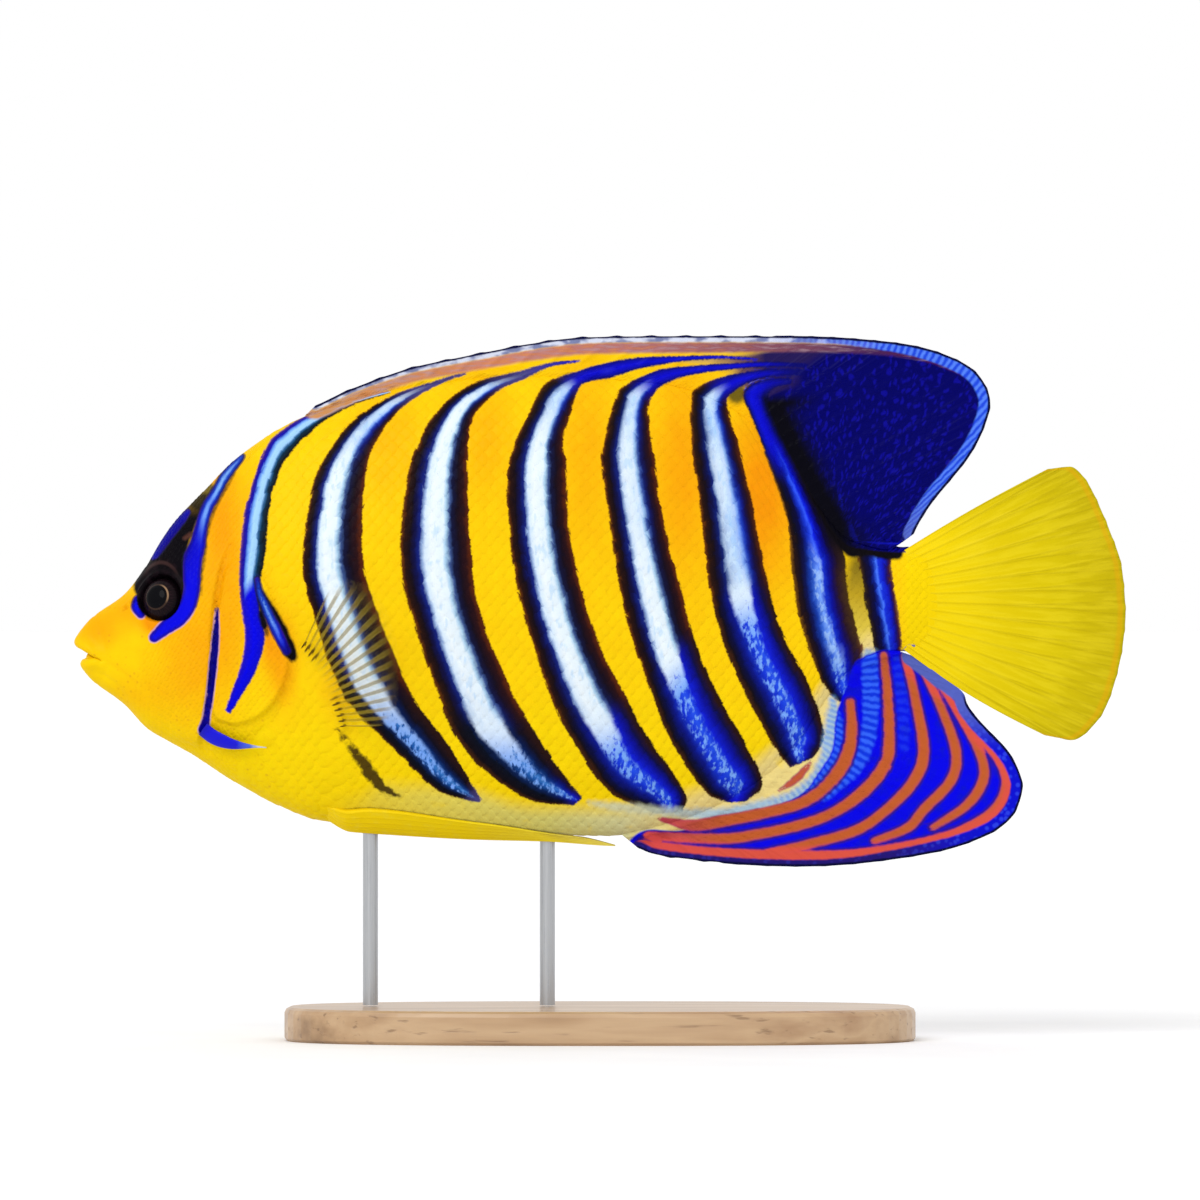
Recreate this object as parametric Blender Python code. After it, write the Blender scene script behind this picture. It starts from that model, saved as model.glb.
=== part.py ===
"""A regal angelfish as a still, life-size museum model, held over a flat base by two rods.

Run with: blender --background --python part.py

The fish faces -X and lies along the X axis, its left flank to -Y, with its fins as the living
fish holds them when it glides. Outlines are given in millimetres in the fish's own frame:
the distance back from the tip of the snout, and the height above the long axis, which runs
through the middle of the tail stalk. place() takes them to the model's frame, in metres.
"""

import math

import bmesh
import bpy
import numpy as np

MM = 0.001

# Driving dimensions, in millimetres
TOTAL_LENGTH = 220.0
AXIS_HEIGHT = 92.0
GAP = 0.3
BASE_LENGTH = 132.0
BASE_WIDTH = 66.0
BASE_THICKNESS = 7.0
BASE_EDGE = 1.2
ROD_RADIUS = 1.6
ROD_STATIONS = {"stand_rod_front": 62.0, "stand_rod_rear": 99.0}

# The trunk without its fins: (distance from the snout, value), in millimetres
BACK_LINE = [
    (1.2, -7.2), (2.0, -5.4), (3.2, -4.0), (5.4, -2.4), (10.5, 1.2), (15.5, 7.9), (18.0, 12.3), (20.5, 15.9),
    (27.0, 22.8), (34.5, 30.2), (47.5, 38.2), (68.0, 44.6), (95.0, 47.4), (122.0, 46.2), (138.0, 41.0),
    (153.0, 24.5), (163.0, 13.4), (174.0, 11.2),
]
BELLY_LINE = [
    (1.2, -14.2), (2.0, -15.4), (3.2, -16.6), (5.4, -18.1), (10.5, -21.8), (15.5, -27.0), (20.5, -29.7),
    (34.7, -38.8), (43.1, -43.2), (51.4, -46.2), (68.0, -47.7), (90.0, -48.9), (112.0, -49.4), (126.0, -46.8),
    (139.0, -41.4), (150.0, -33.0), (158.0, -21.0), (166.0, -12.8), (174.0, -10.8),
]
HALF_WIDTH = [
    (1.2, 1.4), (2.0, 2.2), (3.2, 3.1), (5.0, 4.0), (8.0, 5.5), (15.0, 8.2), (25.0, 11.0), (38.0, 13.6),
    (55.0, 15.6), (75.0, 16.0), (95.0, 14.6), (115.0, 12.0), (135.0, 8.8), (150.0, 6.3), (163.0, 4.6),
    (174.0, 3.4),
]
WIDEST_HEIGHT = [(1.2, -10.5), (8.0, -11.0), (20.0, -9.0), (40.0, -6.0), (70.0, -3.0), (110.0, -1.0), (174.0, 0.0)]
ROUNDNESS_ABOVE = 1.85
ROUNDNESS_BELOW = 2.1

# Where the trunk is parted, and the cheek's raised rear edge: (height, distance from the snout)
SNOUT_START = 1.2
HEAD_END = 37.0
STALK_CUT = 160.0
STALK_END = 174.0
CHEEK_EDGE = [(-30.0, 26.8), (-22.0, 28.1), (-13.0, 29.1), (-3.0, 29.8), (6.0, 31.2), (14.0, 33.4)]
CHEEK_EDGE_MIDDLE = 29.2
CHEEK_RISE = 1.1
CHEEK_RISE_HEIGHTS = {"lowest": -33.0, "full_above": -27.0, "full_below": 4.0, "highest": 12.0}
CHEEK_RISE_START = 13.0

# Gill covers: the free rear edge from top to bottom, and the thickness from front to rear
COVER_FRONT = {"top": 6.0, "bottom": -24.4, "from_cheek": 0.45}
COVER_REAR = [
    (34.0, 9.0), (38.6, 7.4), (41.0, 3.4), (43.3, -2.2), (45.5, -8.4), (45.9, -12.8), (44.6, -18.0),
    (42.0, -22.2), (38.4, -25.0), (34.0, -26.2),
]
COVER_THICKNESS = [(0.0, 0.75), (0.4, 1.0), (0.8, 0.8), (1.0, 0.5)]
COVER_REAR_LIFT = 0.3

# Mouth, nostrils, eyes and cheek spines
LIP_CORNER = (5.9, 3.7, -12.7)
UPPER_LIP = {"front": 1.65, "height": -8.6, "radius": 1.65, "corner_radius": 0.8}
LOWER_LIP = {"front": 2.75, "height": -13.5, "radius": 1.45, "corner_radius": 0.65}
MOUTH_LINE_START = (-1.0, -10.8)
MOUTH_LINE_DROP = 1.7
MOUTH_OPENING = 0.75
MOUTH_OPENING_AT_CORNER = 0.14
NOSTRILS = [(10.9, -1.7, 0.5), (12.6, -0.4, 0.6)]
EYE_CENTRE = (18.0, 0.5)
EYE_RADIUS = 4.6
EYE_DEPTH = 3.3
EYE_STANDS_OUT = 1.1
CORNEA_RISE = 0.35
CHEEK_SPINE = [(27.3, -26.9), (29.8, -28.7), (34.0, -30.1), (40.6, -30.7)]
CHEEK_SPINE_WIDTH = 3.0
CHEEK_SPINE_THICKNESS = 1.2

# Median fins: outer margins as (distance from the snout, height)
DORSAL_MARGIN = [
    (50.5, 40.7), (58.5, 44.5), (70.0, 48.6), (79.5, 50.7), (89.1, 52.6), (96.2, 53.9), (108.0, 55.2),
    (135.0, 55.4), (154.9, 55.2), (166.2, 54.5), (175.0, 53.4), (181.7, 51.6), (187.4, 48.8), (190.5, 45.3),
    (191.7, 40.9), (190.1, 35.3), (187.4, 30.2), (184.0, 25.8), (180.0, 21.0), (177.3, 17.0), (175.6, 13.8),
]
ANAL_MARGIN = [
    (118.0, -51.9), (122.5, -53.6), (136.5, -55.2), (150.6, -55.8), (161.8, -55.4), (172.9, -54.1),
    (181.3, -52.6), (187.0, -50.9), (192.6, -48.4), (196.5, -45.0), (198.4, -40.0), (197.8, -36.0),
    (195.3, -31.4), (191.5, -27.4), (188.4, -24.0), (186.9, -21.7), (185.8, -19.3), (181.0, -16.1),
    (176.6, -12.9),
]
TAIL_MARGIN = [
    (203.6, 27.4), (207.6, 27.9), (209.7, 27.4), (212.2, 24.4), (214.5, 19.8), (217.0, 13.7), (219.1, 7.4),
    (220.0, -1.5), (219.8, -6.5), (219.0, -12.2), (217.3, -18.7), (215.2, -23.7), (212.3, -27.3),
    (209.4, -29.3), (206.0, -28.9), (203.0, -28.3),
]
DORSAL_ROOT = (48.5, 172.0)
DORSAL_SPINES, DORSAL_RAYS = 14, 19
DORSAL_SOFT_START = {"root": 0.62, "margin": 0.56}
ANAL_ROOT = (114.8, 172.0)
ANAL_SPINES, ANAL_RAYS = 3, 18
ANAL_SOFT_START = {"root": 0.16, "margin": 0.17}
TAIL_RAYS = 17
TAIL_ROOT_HEIGHTS = (10.5, -10.4)
# How far the tail fin's upper and lower edges bow upwards
TAIL_EDGE_BOWS = (0.5, -0.9)

# Paired fins
PECTORAL_RAYS = 16
PECTORAL_ROOT = {"back": (46.8, 54.6), "height": (-10.8, -26.2), "thickness": 2.0}
PECTORAL_ANGLES = (60.0, 9.0)
PECTORAL_LENGTHS = [(0.0, 20.0), (0.1, 27.5), (0.25, 30.5), (0.45, 28.5), (0.7, 22.5), (0.9, 17.5), (1.0, 12.5)]
PECTORAL_SPREAD = 38.0
PECTORAL_BEND = 2.5
PELVIC_RAYS = 6
PELVIC_ROOT, PELVIC_TIP = 52.5, 113.2
PELVIC_INNER_EDGE = [(0.0, 2.4), (0.75, 2.4), (1.0, 0.6)]
PELVIC_TILT = 25.0
PELVIC_OUTER_EDGE = [(0.0, 5.6), (0.2, 7.4), (0.6, 5.6), (1.0, 1.9)]
PELVIC_DROOP = [(0.0, 0.2), (0.15, 0.5), (0.5, 0.9), (0.8, 1.1), (1.0, 1.4)]

# Thickness of membranes, spines and rays, half of each in millimetres
MEMBRANE = 0.27
FLESHY_ROOT = 1.1
FLESHY_TAIL_ROOT = 2.0
FLESHY_SHARE = 0.3
SPINE_RISE = 0.4
RAY_RISE = 0.3
RAY_RISE_AT_TIP = 0.1
MARGIN_NOTCH = 0.7

# Fineness of the solids
RING_STEPS = 16
FIN_ROWS = 6
COLUMNS_PER_RAY = 2
SHARP_ANGLE = 50.0

COLOURS = {
    "yellow": (0.95, 0.62, 0.02, 1.0),
    "head_yellow": (0.95, 0.50, 0.02, 1.0),
    "deep_blue": (0.01, 0.01, 0.35, 1.0),
    "royal_blue": (0.01, 0.02, 0.75, 1.0),
    "tail_yellow": (0.85, 0.68, 0.02, 1.0),
    "clear_fin": (0.80, 0.66, 0.20, 1.0),
    "eye": (0.02, 0.01, 0.02, 1.0),
    "oak": (0.62, 0.47, 0.31, 1.0),
    "steel": (0.60, 0.61, 0.62, 1.0),
}


def profile(points):
    """A smooth function through (x, y) points, with no overshoot between them."""
    x, y = np.array(points, float).T
    steps = np.diff(x)
    slopes = np.diff(y) / steps
    inner = np.zeros(len(x))
    for i in range(1, len(x) - 1):
        before, after = slopes[i - 1], slopes[i]
        if before * after > 0:
            near, far = 2 * steps[i] + steps[i - 1], steps[i] + 2 * steps[i - 1]
            inner[i] = (near + far) / (near / before + far / after)
    inner[0], inner[-1] = slopes[0], slopes[-1]

    def value(at):
        at = np.clip(at, x[0], x[-1])
        i = np.clip(np.searchsorted(x, at) - 1, 0, len(x) - 2)
        t = (at - x[i]) / steps[i]
        return (
            y[i] * (1 + 2 * t) * (1 - t) ** 2
            + inner[i] * steps[i] * t * (1 - t) ** 2
            + y[i + 1] * t * t * (3 - 2 * t)
            + inner[i + 1] * steps[i] * t * t * (t - 1)
        )

    return value


def curve(points, fine=24):
    """A smooth plane curve through the points, as a function of the share of its length."""
    p = np.array(points, float)
    ends = np.vstack([2 * p[0] - p[1], p, 2 * p[-1] - p[-2]])
    dense = []
    for i in range(1, len(ends) - 2):
        before, a, b, after = ends[i - 1 : i + 3]
        for t in np.linspace(0, 1, fine, endpoint=False):
            dense.append(
                0.5
                * (
                    2 * a
                    + (b - before) * t
                    + (2 * before - 5 * a + 4 * b - after) * t * t
                    + (3 * a - before - 3 * b + after) * t**3
                )
            )
    dense = np.array([*dense, p[-1]])
    along = np.concatenate([[0], np.cumsum(np.linalg.norm(np.diff(dense, axis=0), axis=1))])

    def point(share):
        at = np.clip(share, 0, 1) * along[-1]
        return np.array([np.interp(at, along, dense[:, k]) for k in range(dense.shape[1])])

    return point


back, belly = profile(BACK_LINE), profile(BELLY_LINE)
half_width, widest_height = profile(HALF_WIDTH), profile(WIDEST_HEIGHT)
cheek_edge = profile(CHEEK_EDGE)


def smooth_step(x):
    x = np.clip(x, 0, 1)
    return x * x * (3 - 2 * x)


def flank(station, height):
    """How far the trunk's skin stands from the middle plane."""
    middle = widest_height(station)
    above = height >= middle
    reach = back(station) - middle if above else middle - belly(station)
    power = ROUNDNESS_ABOVE if above else ROUNDNESS_BELOW
    share = min(abs(height - middle) / reach, 1.0)
    return half_width(station) * (1 - share**power) ** (1 / power)


def underside(station, aside):
    """The height of the belly's skin at a distance aside of the middle plane."""
    middle = widest_height(station)
    share = min(abs(aside) / half_width(station), 1.0)
    return middle - (middle - belly(station)) * (1 - share**ROUNDNESS_BELOW) ** (1 / ROUNDNESS_BELOW)


def cheek_rise(height):
    """How much of the cheek's rise stands at a height."""
    span = CHEEK_RISE_HEIGHTS
    from_below = smooth_step((height - span["lowest"]) / (span["full_above"] - span["lowest"]))
    from_above = smooth_step((span["highest"] - height) / (span["highest"] - span["full_below"]))
    return CHEEK_RISE * from_below * from_above


def cheek_start(station):
    """How far the cheek's rise has grown from the snout back, up to 1."""
    return smooth_step((station - CHEEK_RISE_START) / (CHEEK_EDGE_MIDDLE - CHEEK_RISE_START))


def skin(station, height):
    """How far the skin stands from the middle plane, with the raised cheek."""
    if station > cheek_edge(height):
        return flank(station, height)
    return flank(station, height) + cheek_rise(height) * cheek_start(station)


def skin_frame(station, height, side):
    """A point on the skin with its backward, upward and outward unit directions."""
    step = 0.5
    here = np.array([station, side * skin(station, height), height])
    behind = np.array([station + step, side * skin(station + step, height), height])
    over = np.array([station, side * skin(station, height + step), height + step])
    to_back = (behind - here) / np.linalg.norm(behind - here)
    to_top = (over - here) / np.linalg.norm(over - here)
    outward = np.cross(to_back, to_top) * -side
    return here, to_back, to_top, outward / np.linalg.norm(outward)


def place(point):
    """From the fish's own frame, in millimetres, to the model's frame, in metres."""
    station, aside, height = point
    return ((station - TOTAL_LENGTH / 2) * MM, aside * MM, (height + AXIS_HEIGHT) * MM)


def material(name, roughness=0.4, metallic=0.0):
    made = bpy.data.materials.get(name) or bpy.data.materials.new(name)
    made.use_nodes = True
    shader = made.node_tree.nodes["Principled BSDF"]
    shader.inputs["Base Color"].default_value = COLOURS[name]
    shader.inputs["Roughness"].default_value = roughness
    shader.inputs["Metallic"].default_value = metallic
    return made


def add_object(name, points, faces, look=None):
    """A closed mesh object from points in the fish's frame, with its faces turned outwards."""
    mesh = bpy.data.meshes.new(name)
    mesh.from_pydata([place(p) for p in points], [], faces)
    shell = bmesh.new()
    shell.from_mesh(mesh)
    bmesh.ops.recalc_face_normals(shell, faces=shell.faces)
    shell.to_mesh(mesh)
    shell.free()
    obj = bpy.data.objects.new(name, mesh)
    bpy.context.scene.collection.objects.link(obj)
    if look:
        mesh.materials.append(look)
    shade(mesh)
    return obj


def shade(mesh):
    mesh.shade_smooth()
    mesh.set_sharp_from_angle(angle=math.radians(SHARP_ANGLE))


def combine(obj, others, operation):
    """Joins others to obj, or cuts them from it, in one Boolean, and keeps the largest closed surface."""
    group = bpy.data.collections.new(obj.name + "_pieces")
    bpy.context.scene.collection.children.link(group)
    for other in others:
        bpy.context.scene.collection.objects.unlink(other)
        group.objects.link(other)
    boolean = obj.modifiers.new("combine", "BOOLEAN")
    boolean.operation = operation
    boolean.operand_type = "COLLECTION"
    boolean.collection = group
    boolean.solver = "EXACT"
    evaluated = obj.evaluated_get(bpy.context.evaluated_depsgraph_get())
    result = bpy.data.meshes.new_from_object(evaluated)
    obj.modifiers.clear()
    obj.data = result
    for other in others:
        bpy.data.objects.remove(other)
    bpy.data.collections.remove(group)
    keep_largest(obj)


def keep_largest(obj):
    shell = bmesh.new()
    shell.from_mesh(obj.data)
    left, groups = set(shell.verts), []
    while left:
        group, edge_of_group = set(), [left.pop()]
        while edge_of_group:
            vertex = edge_of_group.pop()
            group.add(vertex)
            for edge in vertex.link_edges:
                other = edge.other_vert(vertex)
                if other in left:
                    left.discard(other)
                    edge_of_group.append(other)
        groups.append(group)

    def reach(group):
        places = np.array([v.co for v in group])
        return np.prod(places.max(0) - places.min(0) + MM)

    groups.sort(key=reach)
    bmesh.ops.delete(shell, geom=[v for g in groups[:-1] for v in g], context="VERTS")
    shell.to_mesh(obj.data)
    shell.free()
    shade(obj.data)


def loft(name, rings, look=None):
    """A closed body through rings whose points run from the top down one side and up the other."""
    count = len(rings[0])
    points = [p for ring in rings for p in ring]
    faces = []
    for i in range(len(rings) - 1):
        for j in range(count):
            a, b = i * count + j, i * count + (j + 1) % count
            faces.append((a, b, b + count, a + count))
    for first in (0, (len(rings) - 1) * count):
        faces.append((first, first + 1, first + count - 1))
        for j in range(1, count // 2 - 1):
            faces.append((first + j, first + j + 1, first + count - j - 1, first + count - j))
        faces.append((first + count // 2 - 1, first + count // 2, first + count // 2 + 1))
    return add_object(name, points, faces, look)


def trunk_ring(station, cheek=0.0):
    """One ring round the trunk. Near the cheek it follows the cheek's rear edge."""
    nearness = 1 - smooth_step(abs(station - CHEEK_EDGE_MIDDLE) / 7.5)
    ring = []
    for k in range(2 * RING_STEPS):
        angle = math.pi / 2 - math.pi * k / RING_STEPS
        lean, rise = abs(math.cos(angle)), math.sin(angle)
        at = station
        for _ in range(2 if nearness else 1):
            middle = widest_height(at)
            reach = back(at) - middle if rise >= 0 else middle - belly(at)
            power = 2 / (ROUNDNESS_ABOVE if rise >= 0 else ROUNDNESS_BELOW)
            height = middle + reach * math.copysign(abs(rise) ** power, rise)
            at = station + nearness * smooth_step(lean * 2) * (cheek_edge(height) - CHEEK_EDGE_MIDDLE)
        side = -1 if k < RING_STEPS else 1
        aside = half_width(at) * lean**power + cheek * cheek_rise(height) * smooth_step(lean * 2)
        ring.append((at, side * aside, height))
    return ring


def make_head():
    """Snout to gill opening, with lips, the mouth's line, nostrils and open sockets for the eyes."""
    edge = CHEEK_EDGE_MIDDLE
    rings = [trunk_ring(s, cheek_start(s)) for s in np.linspace(SNOUT_START, 12.0, 7)]
    rings += [trunk_ring(s, cheek_start(s)) for s in np.linspace(14.5, edge - GAP / 2, 6)]
    rings += [trunk_ring(s) for s in np.linspace(edge + GAP / 2, HEAD_END - GAP / 2, 4)]
    head = loft("head", rings, material("head_yellow", 0.35))
    combine(head, [make_lip("upper_lip", UPPER_LIP), make_lip("lower_lip", LOWER_LIP)], "UNION")
    cutters = [make_mouth_line()]
    for side in (-1, 1):
        cutters.append(make_eye(f"socket_{side}", side, GAP, None))
        cutters += [make_nostril(f"nostril_{side}_{k}", side, *NOSTRILS[k]) for k in range(len(NOSTRILS))]
    combine(head, cutters, "DIFFERENCE")


def make_gill_cover(name, side):
    """A thin plate over the gill opening, in the lee of the cheek's edge, with a free rear edge."""
    rear, thickness = curve(COVER_REAR), profile(COVER_THICKNESS)
    rows, columns = 14, 8
    near, far = [], []
    for i in range(rows):
        down = i / (rows - 1)
        height = np.interp(down, (0, 1), (COVER_FRONT["top"], COVER_FRONT["bottom"]))
        front = np.array([cheek_edge(height) + COVER_FRONT["from_cheek"], height])
        near_row, far_row = [], []
        for j in range(columns):
            across = j / (columns - 1)
            station, level = front + (rear(down) - front) * across
            lift = GAP + COVER_REAR_LIFT * across**3
            under, outward = flank(station, level), np.sin(math.pi * down) ** 0.3 if 0 < i < rows - 1 else 0.6
            near_row.append((station, side * (under + lift), level))
            far_row.append((station, side * (under + lift + thickness(across) * outward), level))
        near.append(near_row)
        far.append(far_row)
    return double_sheet(name, near, far, material("head_yellow", 0.35))


def make_lip(name, lip, around=10, along=17):
    """A full lip: a tube that runs from one corner of the mouth round its front to the other."""
    corner_back, corner_aside, corner_height = LIP_CORNER
    centres, radii = [], []
    for turn in np.linspace(-math.pi / 2, math.pi / 2, along):
        forward = math.cos(turn)
        centres.append(
            np.array([
                corner_back - (corner_back - lip["front"]) * forward,
                corner_aside * math.sin(turn),
                corner_height + (lip["height"] - corner_height) * forward**0.7,
            ])
        )
        radii.append(lip["corner_radius"] + (lip["radius"] - lip["corner_radius"]) * forward**0.6)
    return tube(name, centres, radii, around)


def tube(name, centres, radii, around, look=None):
    """A closed round tube through the centres."""
    points, faces = [], []
    for i, (centre, radius) in enumerate(zip(centres, radii)):
        ahead = centres[min(i + 1, len(centres) - 1)] - centres[max(i - 1, 0)]
        ahead = ahead / np.linalg.norm(ahead)
        across = np.cross(ahead, (0.0, 0.0, 1.0))
        across = across / np.linalg.norm(across)
        over = np.cross(across, ahead)
        for k in range(around):
            turn = 2 * math.pi * k / around
            points.append(centre + radius * (math.cos(turn) * across + math.sin(turn) * over))
        if i:
            first, last = i * around, (i - 1) * around
            faces += [
                (last + k, last + (k + 1) % around, first + (k + 1) % around, first + k) for k in range(around)
            ]
    faces += [tuple(range(around)), tuple(range(len(points) - around, len(points)))]
    return add_object(name, points, faces, look)


def make_mouth_line():
    """The cutter for the mouth's line: a thin wedge from in front of the lips to their corners."""
    front, rear, aside = MOUTH_LINE_START[0], LIP_CORNER[0] - 0.4, LIP_CORNER[1] + 3.0
    points = []
    for station, half, drop in ((front, MOUTH_OPENING, 0.0), (rear, MOUTH_OPENING_AT_CORNER, MOUTH_LINE_DROP)):
        for height in (half, -half):
            points += [(station, side * aside, MOUTH_LINE_START[1] - drop + height) for side in (-1, 1)]
    faces = [(0, 1, 3, 2), (4, 6, 7, 5), (0, 2, 6, 4), (1, 5, 7, 3), (0, 4, 5, 1), (2, 3, 7, 6)]
    return add_object("mouth_line", points, faces)


def make_nostril(name, side, station, height, radius):
    """The cutter for a nostril: a small pit that looks out and forward."""
    here, _, _, outward = skin_frame(station, height, side)
    return ellipsoid(name, here - 0.1 * radius * outward, outward, (radius, 1.3 * radius), 10, 6)


def ellipsoid(name, centre, axis, radii, around, rows, look=None, dome=0.0):
    """A round body flattened along its axis. dome lifts the middle of the face that axis points to."""
    across, deep = radii
    first = np.cross(axis, (0.0, 0.0, 1.0))
    first = first / np.linalg.norm(first)
    second = np.cross(axis, first)
    points = [centre + (deep + dome) * axis]
    for i in range(1, rows):
        tilt = math.pi * i / rows
        bump = dome * smooth_step(1 - tilt / 0.9)
        for k in range(around):
            turn = 2 * math.pi * k / around
            rim = math.cos(turn) * first + math.sin(turn) * second
            points.append(centre + (deep * math.cos(tilt) + bump) * axis + across * math.sin(tilt) * rim)
    points.append(centre - deep * axis)
    faces = [(0, 1 + k, 1 + (k + 1) % around) for k in range(around)]
    for i in range(rows - 2):
        start = 1 + i * around
        for k in range(around):
            following = (k + 1) % around
            faces.append((start + k, start + around + k, start + around + following, start + following))
    last = len(points) - 1
    faces += [(last, last - around + (k + 1) % around, last - around + k) for k in range(around)]
    return add_object(name, points, faces, look)


def make_eye(name, side, grown, look):
    """An eyeball that looks out along the head's skin there, or its socket when grown by the gap."""
    here, _, _, outward = skin_frame(*EYE_CENTRE, side)
    centre = here + (EYE_STANDS_OUT - EYE_DEPTH) * outward
    radii = (EYE_RADIUS + grown, EYE_DEPTH + grown)
    return ellipsoid(name, centre, outward, radii, 24, 12, look, CORNEA_RISE)


def make_cheek_spine(name, side):
    """The spine at the lower corner of the cheek, lying back over the gill cover."""
    path = curve(CHEEK_SPINE)
    steps, points, faces = 9, [], []
    for i in range(steps):
        share = i / (steps - 1)
        here, ahead = path(share), path(min(share + 0.02, 1.0)) - path(max(share - 0.02, 0.0))
        across = np.array([-ahead[1], ahead[0]]) / np.linalg.norm(ahead)
        taper = 1.0 - 0.88 * smooth_step((share - 0.25) / 0.75)
        width = CHEEK_SPINE_WIDTH * taper / 2
        thick = CHEEK_SPINE_THICKNESS * (0.35 + 0.65 * taper)
        lift = GAP + CHEEK_RISE + 0.5 * share**2
        for offset, height in ((-1.0, 0.0), (1.0, 0.0), (0.75, 0.75), (0.0, 1.0), (-0.75, 0.75)):
            station, level = here + across * offset * width
            aside = flank(station, level) + lift + height * thick
            points.append((station, side * aside, level))
        if i:
            for k in range(5):
                a, b = (i - 1) * 5 + k, (i - 1) * 5 + (k + 1) % 5
                faces.append((a, b, b + 5, a + 5))
    faces += [(0, 1, 2, 3, 4), tuple(range(len(points) - 5, len(points)))]
    return add_object(name, points, faces, material("royal_blue", 0.35))


def double_sheet(name, near_face, far_face, look):
    """A closed thin body from two grids of points, split into triangles alike on both."""
    columns, rows = len(near_face), len(near_face[0])
    points = [p for column in near_face for p in column] + [p for column in far_face for p in column]
    shift, faces, rim = columns * rows, [], []
    for i in range(columns - 1):
        for j in range(rows - 1):
            a, b, c, d = i * rows + j, (i + 1) * rows + j, (i + 1) * rows + j + 1, i * rows + j + 1
            faces += [(a, b, c), (a, c, d)]
            faces += [(a + shift, c + shift, b + shift), (a + shift, d + shift, c + shift)]
    rim += [i * rows for i in range(columns)]
    rim += [(columns - 1) * rows + j for j in range(1, rows)]
    rim += [i * rows + rows - 1 for i in range(columns - 2, -1, -1)]
    rim += [j for j in range(rows - 2, 0, -1)]
    for a, b in zip(rim, rim[1:] + rim[:1]):
        faces += [(a, b, b + shift), (a, b + shift, a + shift)]
    return add_object(name, points, faces, look)


def fin_columns(rays, columns_per_ray):
    """Places across a fin, counted in rays, each with how much of a ray's ridge stands there."""
    at = np.linspace(0, rays - 1, (rays - 1) * columns_per_ray + 1)
    from_ray = np.abs(at - np.round(at)) * 2
    return at, 1 - from_ray


def median_fin(name, root_points, tip_points, spines, look, fleshy=FLESHY_ROOT, bow=None):
    """A fin in the middle plane: one ray from each root point to its tip point, with membrane between."""
    rays = len(root_points)
    at, ridges = fin_columns(rays, COLUMNS_PER_RAY)
    index = np.arange(rays)
    near, far = [], []
    for place_across, ridge in zip(at, ridges):
        root = np.array([np.interp(place_across, index, root_points[:, k]) for k in range(2)])
        tip = np.array([np.interp(place_across, index, tip_points[:, k]) for k in range(2)])
        length = np.linalg.norm(tip - root)
        spiny = place_across <= spines - 0.5
        if spiny:
            tip = tip - (tip - root) / length * min(MARGIN_NOTCH, length / 4) * (1 - ridge)
        outward = np.array([-(tip - root)[1], (tip - root)[0]]) / length
        near_column, far_column = [], []
        for row in range(FIN_ROWS + 1):
            share = row / FIN_ROWS
            here = root + (tip - root) * share
            if bow is not None:
                here = here + outward * bow(place_across / (rays - 1)) * math.sin(math.pi * share)
            flesh = fleshy * smooth_step(1 - share / FLESHY_SHARE) * min(1.0, length / 8)
            rise = (SPINE_RISE if spiny else RAY_RISE) * (1 - share) + RAY_RISE_AT_TIP * share
            half = MEMBRANE + flesh + rise * ridge
            near_column.append((here[0], -half, here[1]))
            far_column.append((here[0], half, here[1]))
        near.append(near_column)
        far.append(far_column)
    return double_sheet(name, near, far, look)


def root_line(line, start, end, outward):
    """Points of the trunk's outline from start to end, moved off it by the gap, as a curve."""
    stations = np.linspace(start, end, 60)
    heights = line(stations)
    slope = np.gradient(heights, stations)
    length = np.sqrt(1 + slope**2)
    shifted = np.column_stack([stations - outward * GAP * slope / length, heights + outward * GAP / length])
    along = np.concatenate([[0], np.cumsum(np.linalg.norm(np.diff(shifted, axis=0), axis=1))])
    return lambda share: np.array([np.interp(share * along[-1], along, shifted[:, k]) for k in range(2)])


def ray_shares(spines, rays, soft_start):
    """Even places for the spines up to soft_start, then even places for the soft rays."""
    return np.concatenate([
        np.linspace(0, soft_start, spines, endpoint=False),
        np.linspace(soft_start, 1, rays),
    ])


def make_dorsal_fin():
    root, margin = root_line(back, *DORSAL_ROOT, 1), curve(DORSAL_MARGIN)
    roots = [root(u) for u in ray_shares(DORSAL_SPINES, DORSAL_RAYS, DORSAL_SOFT_START["root"])]
    tips = [margin(u) for u in ray_shares(DORSAL_SPINES, DORSAL_RAYS, DORSAL_SOFT_START["margin"])]
    median_fin("dorsal_fin", np.array(roots), np.array(tips), DORSAL_SPINES, material("deep_blue", 0.4))


def make_anal_fin():
    root, margin = root_line(belly, *ANAL_ROOT, -1), curve(ANAL_MARGIN)
    roots = [root(u) for u in ray_shares(ANAL_SPINES, ANAL_RAYS, ANAL_SOFT_START["root"])]
    tips = [margin(u) for u in ray_shares(ANAL_SPINES, ANAL_RAYS, ANAL_SOFT_START["margin"])]
    median_fin("anal_fin", np.array(roots), np.array(tips), ANAL_SPINES, material("royal_blue", 0.4))


def make_tail_fin():
    margin = curve(TAIL_MARGIN)
    shares = np.linspace(0, 1, TAIL_RAYS)
    roots = [(STALK_END + GAP, np.interp(u, (0, 1), TAIL_ROOT_HEIGHTS)) for u in shares]
    tips = [margin(u) for u in shares]
    median_fin(
        "tail_fin",
        np.array(roots),
        np.array(tips),
        0,
        material("tail_yellow", 0.4),
        FLESHY_TAIL_ROOT,
        bow=lambda share: np.interp(share, (0, 1), TAIL_EDGE_BOWS),
    )


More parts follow.
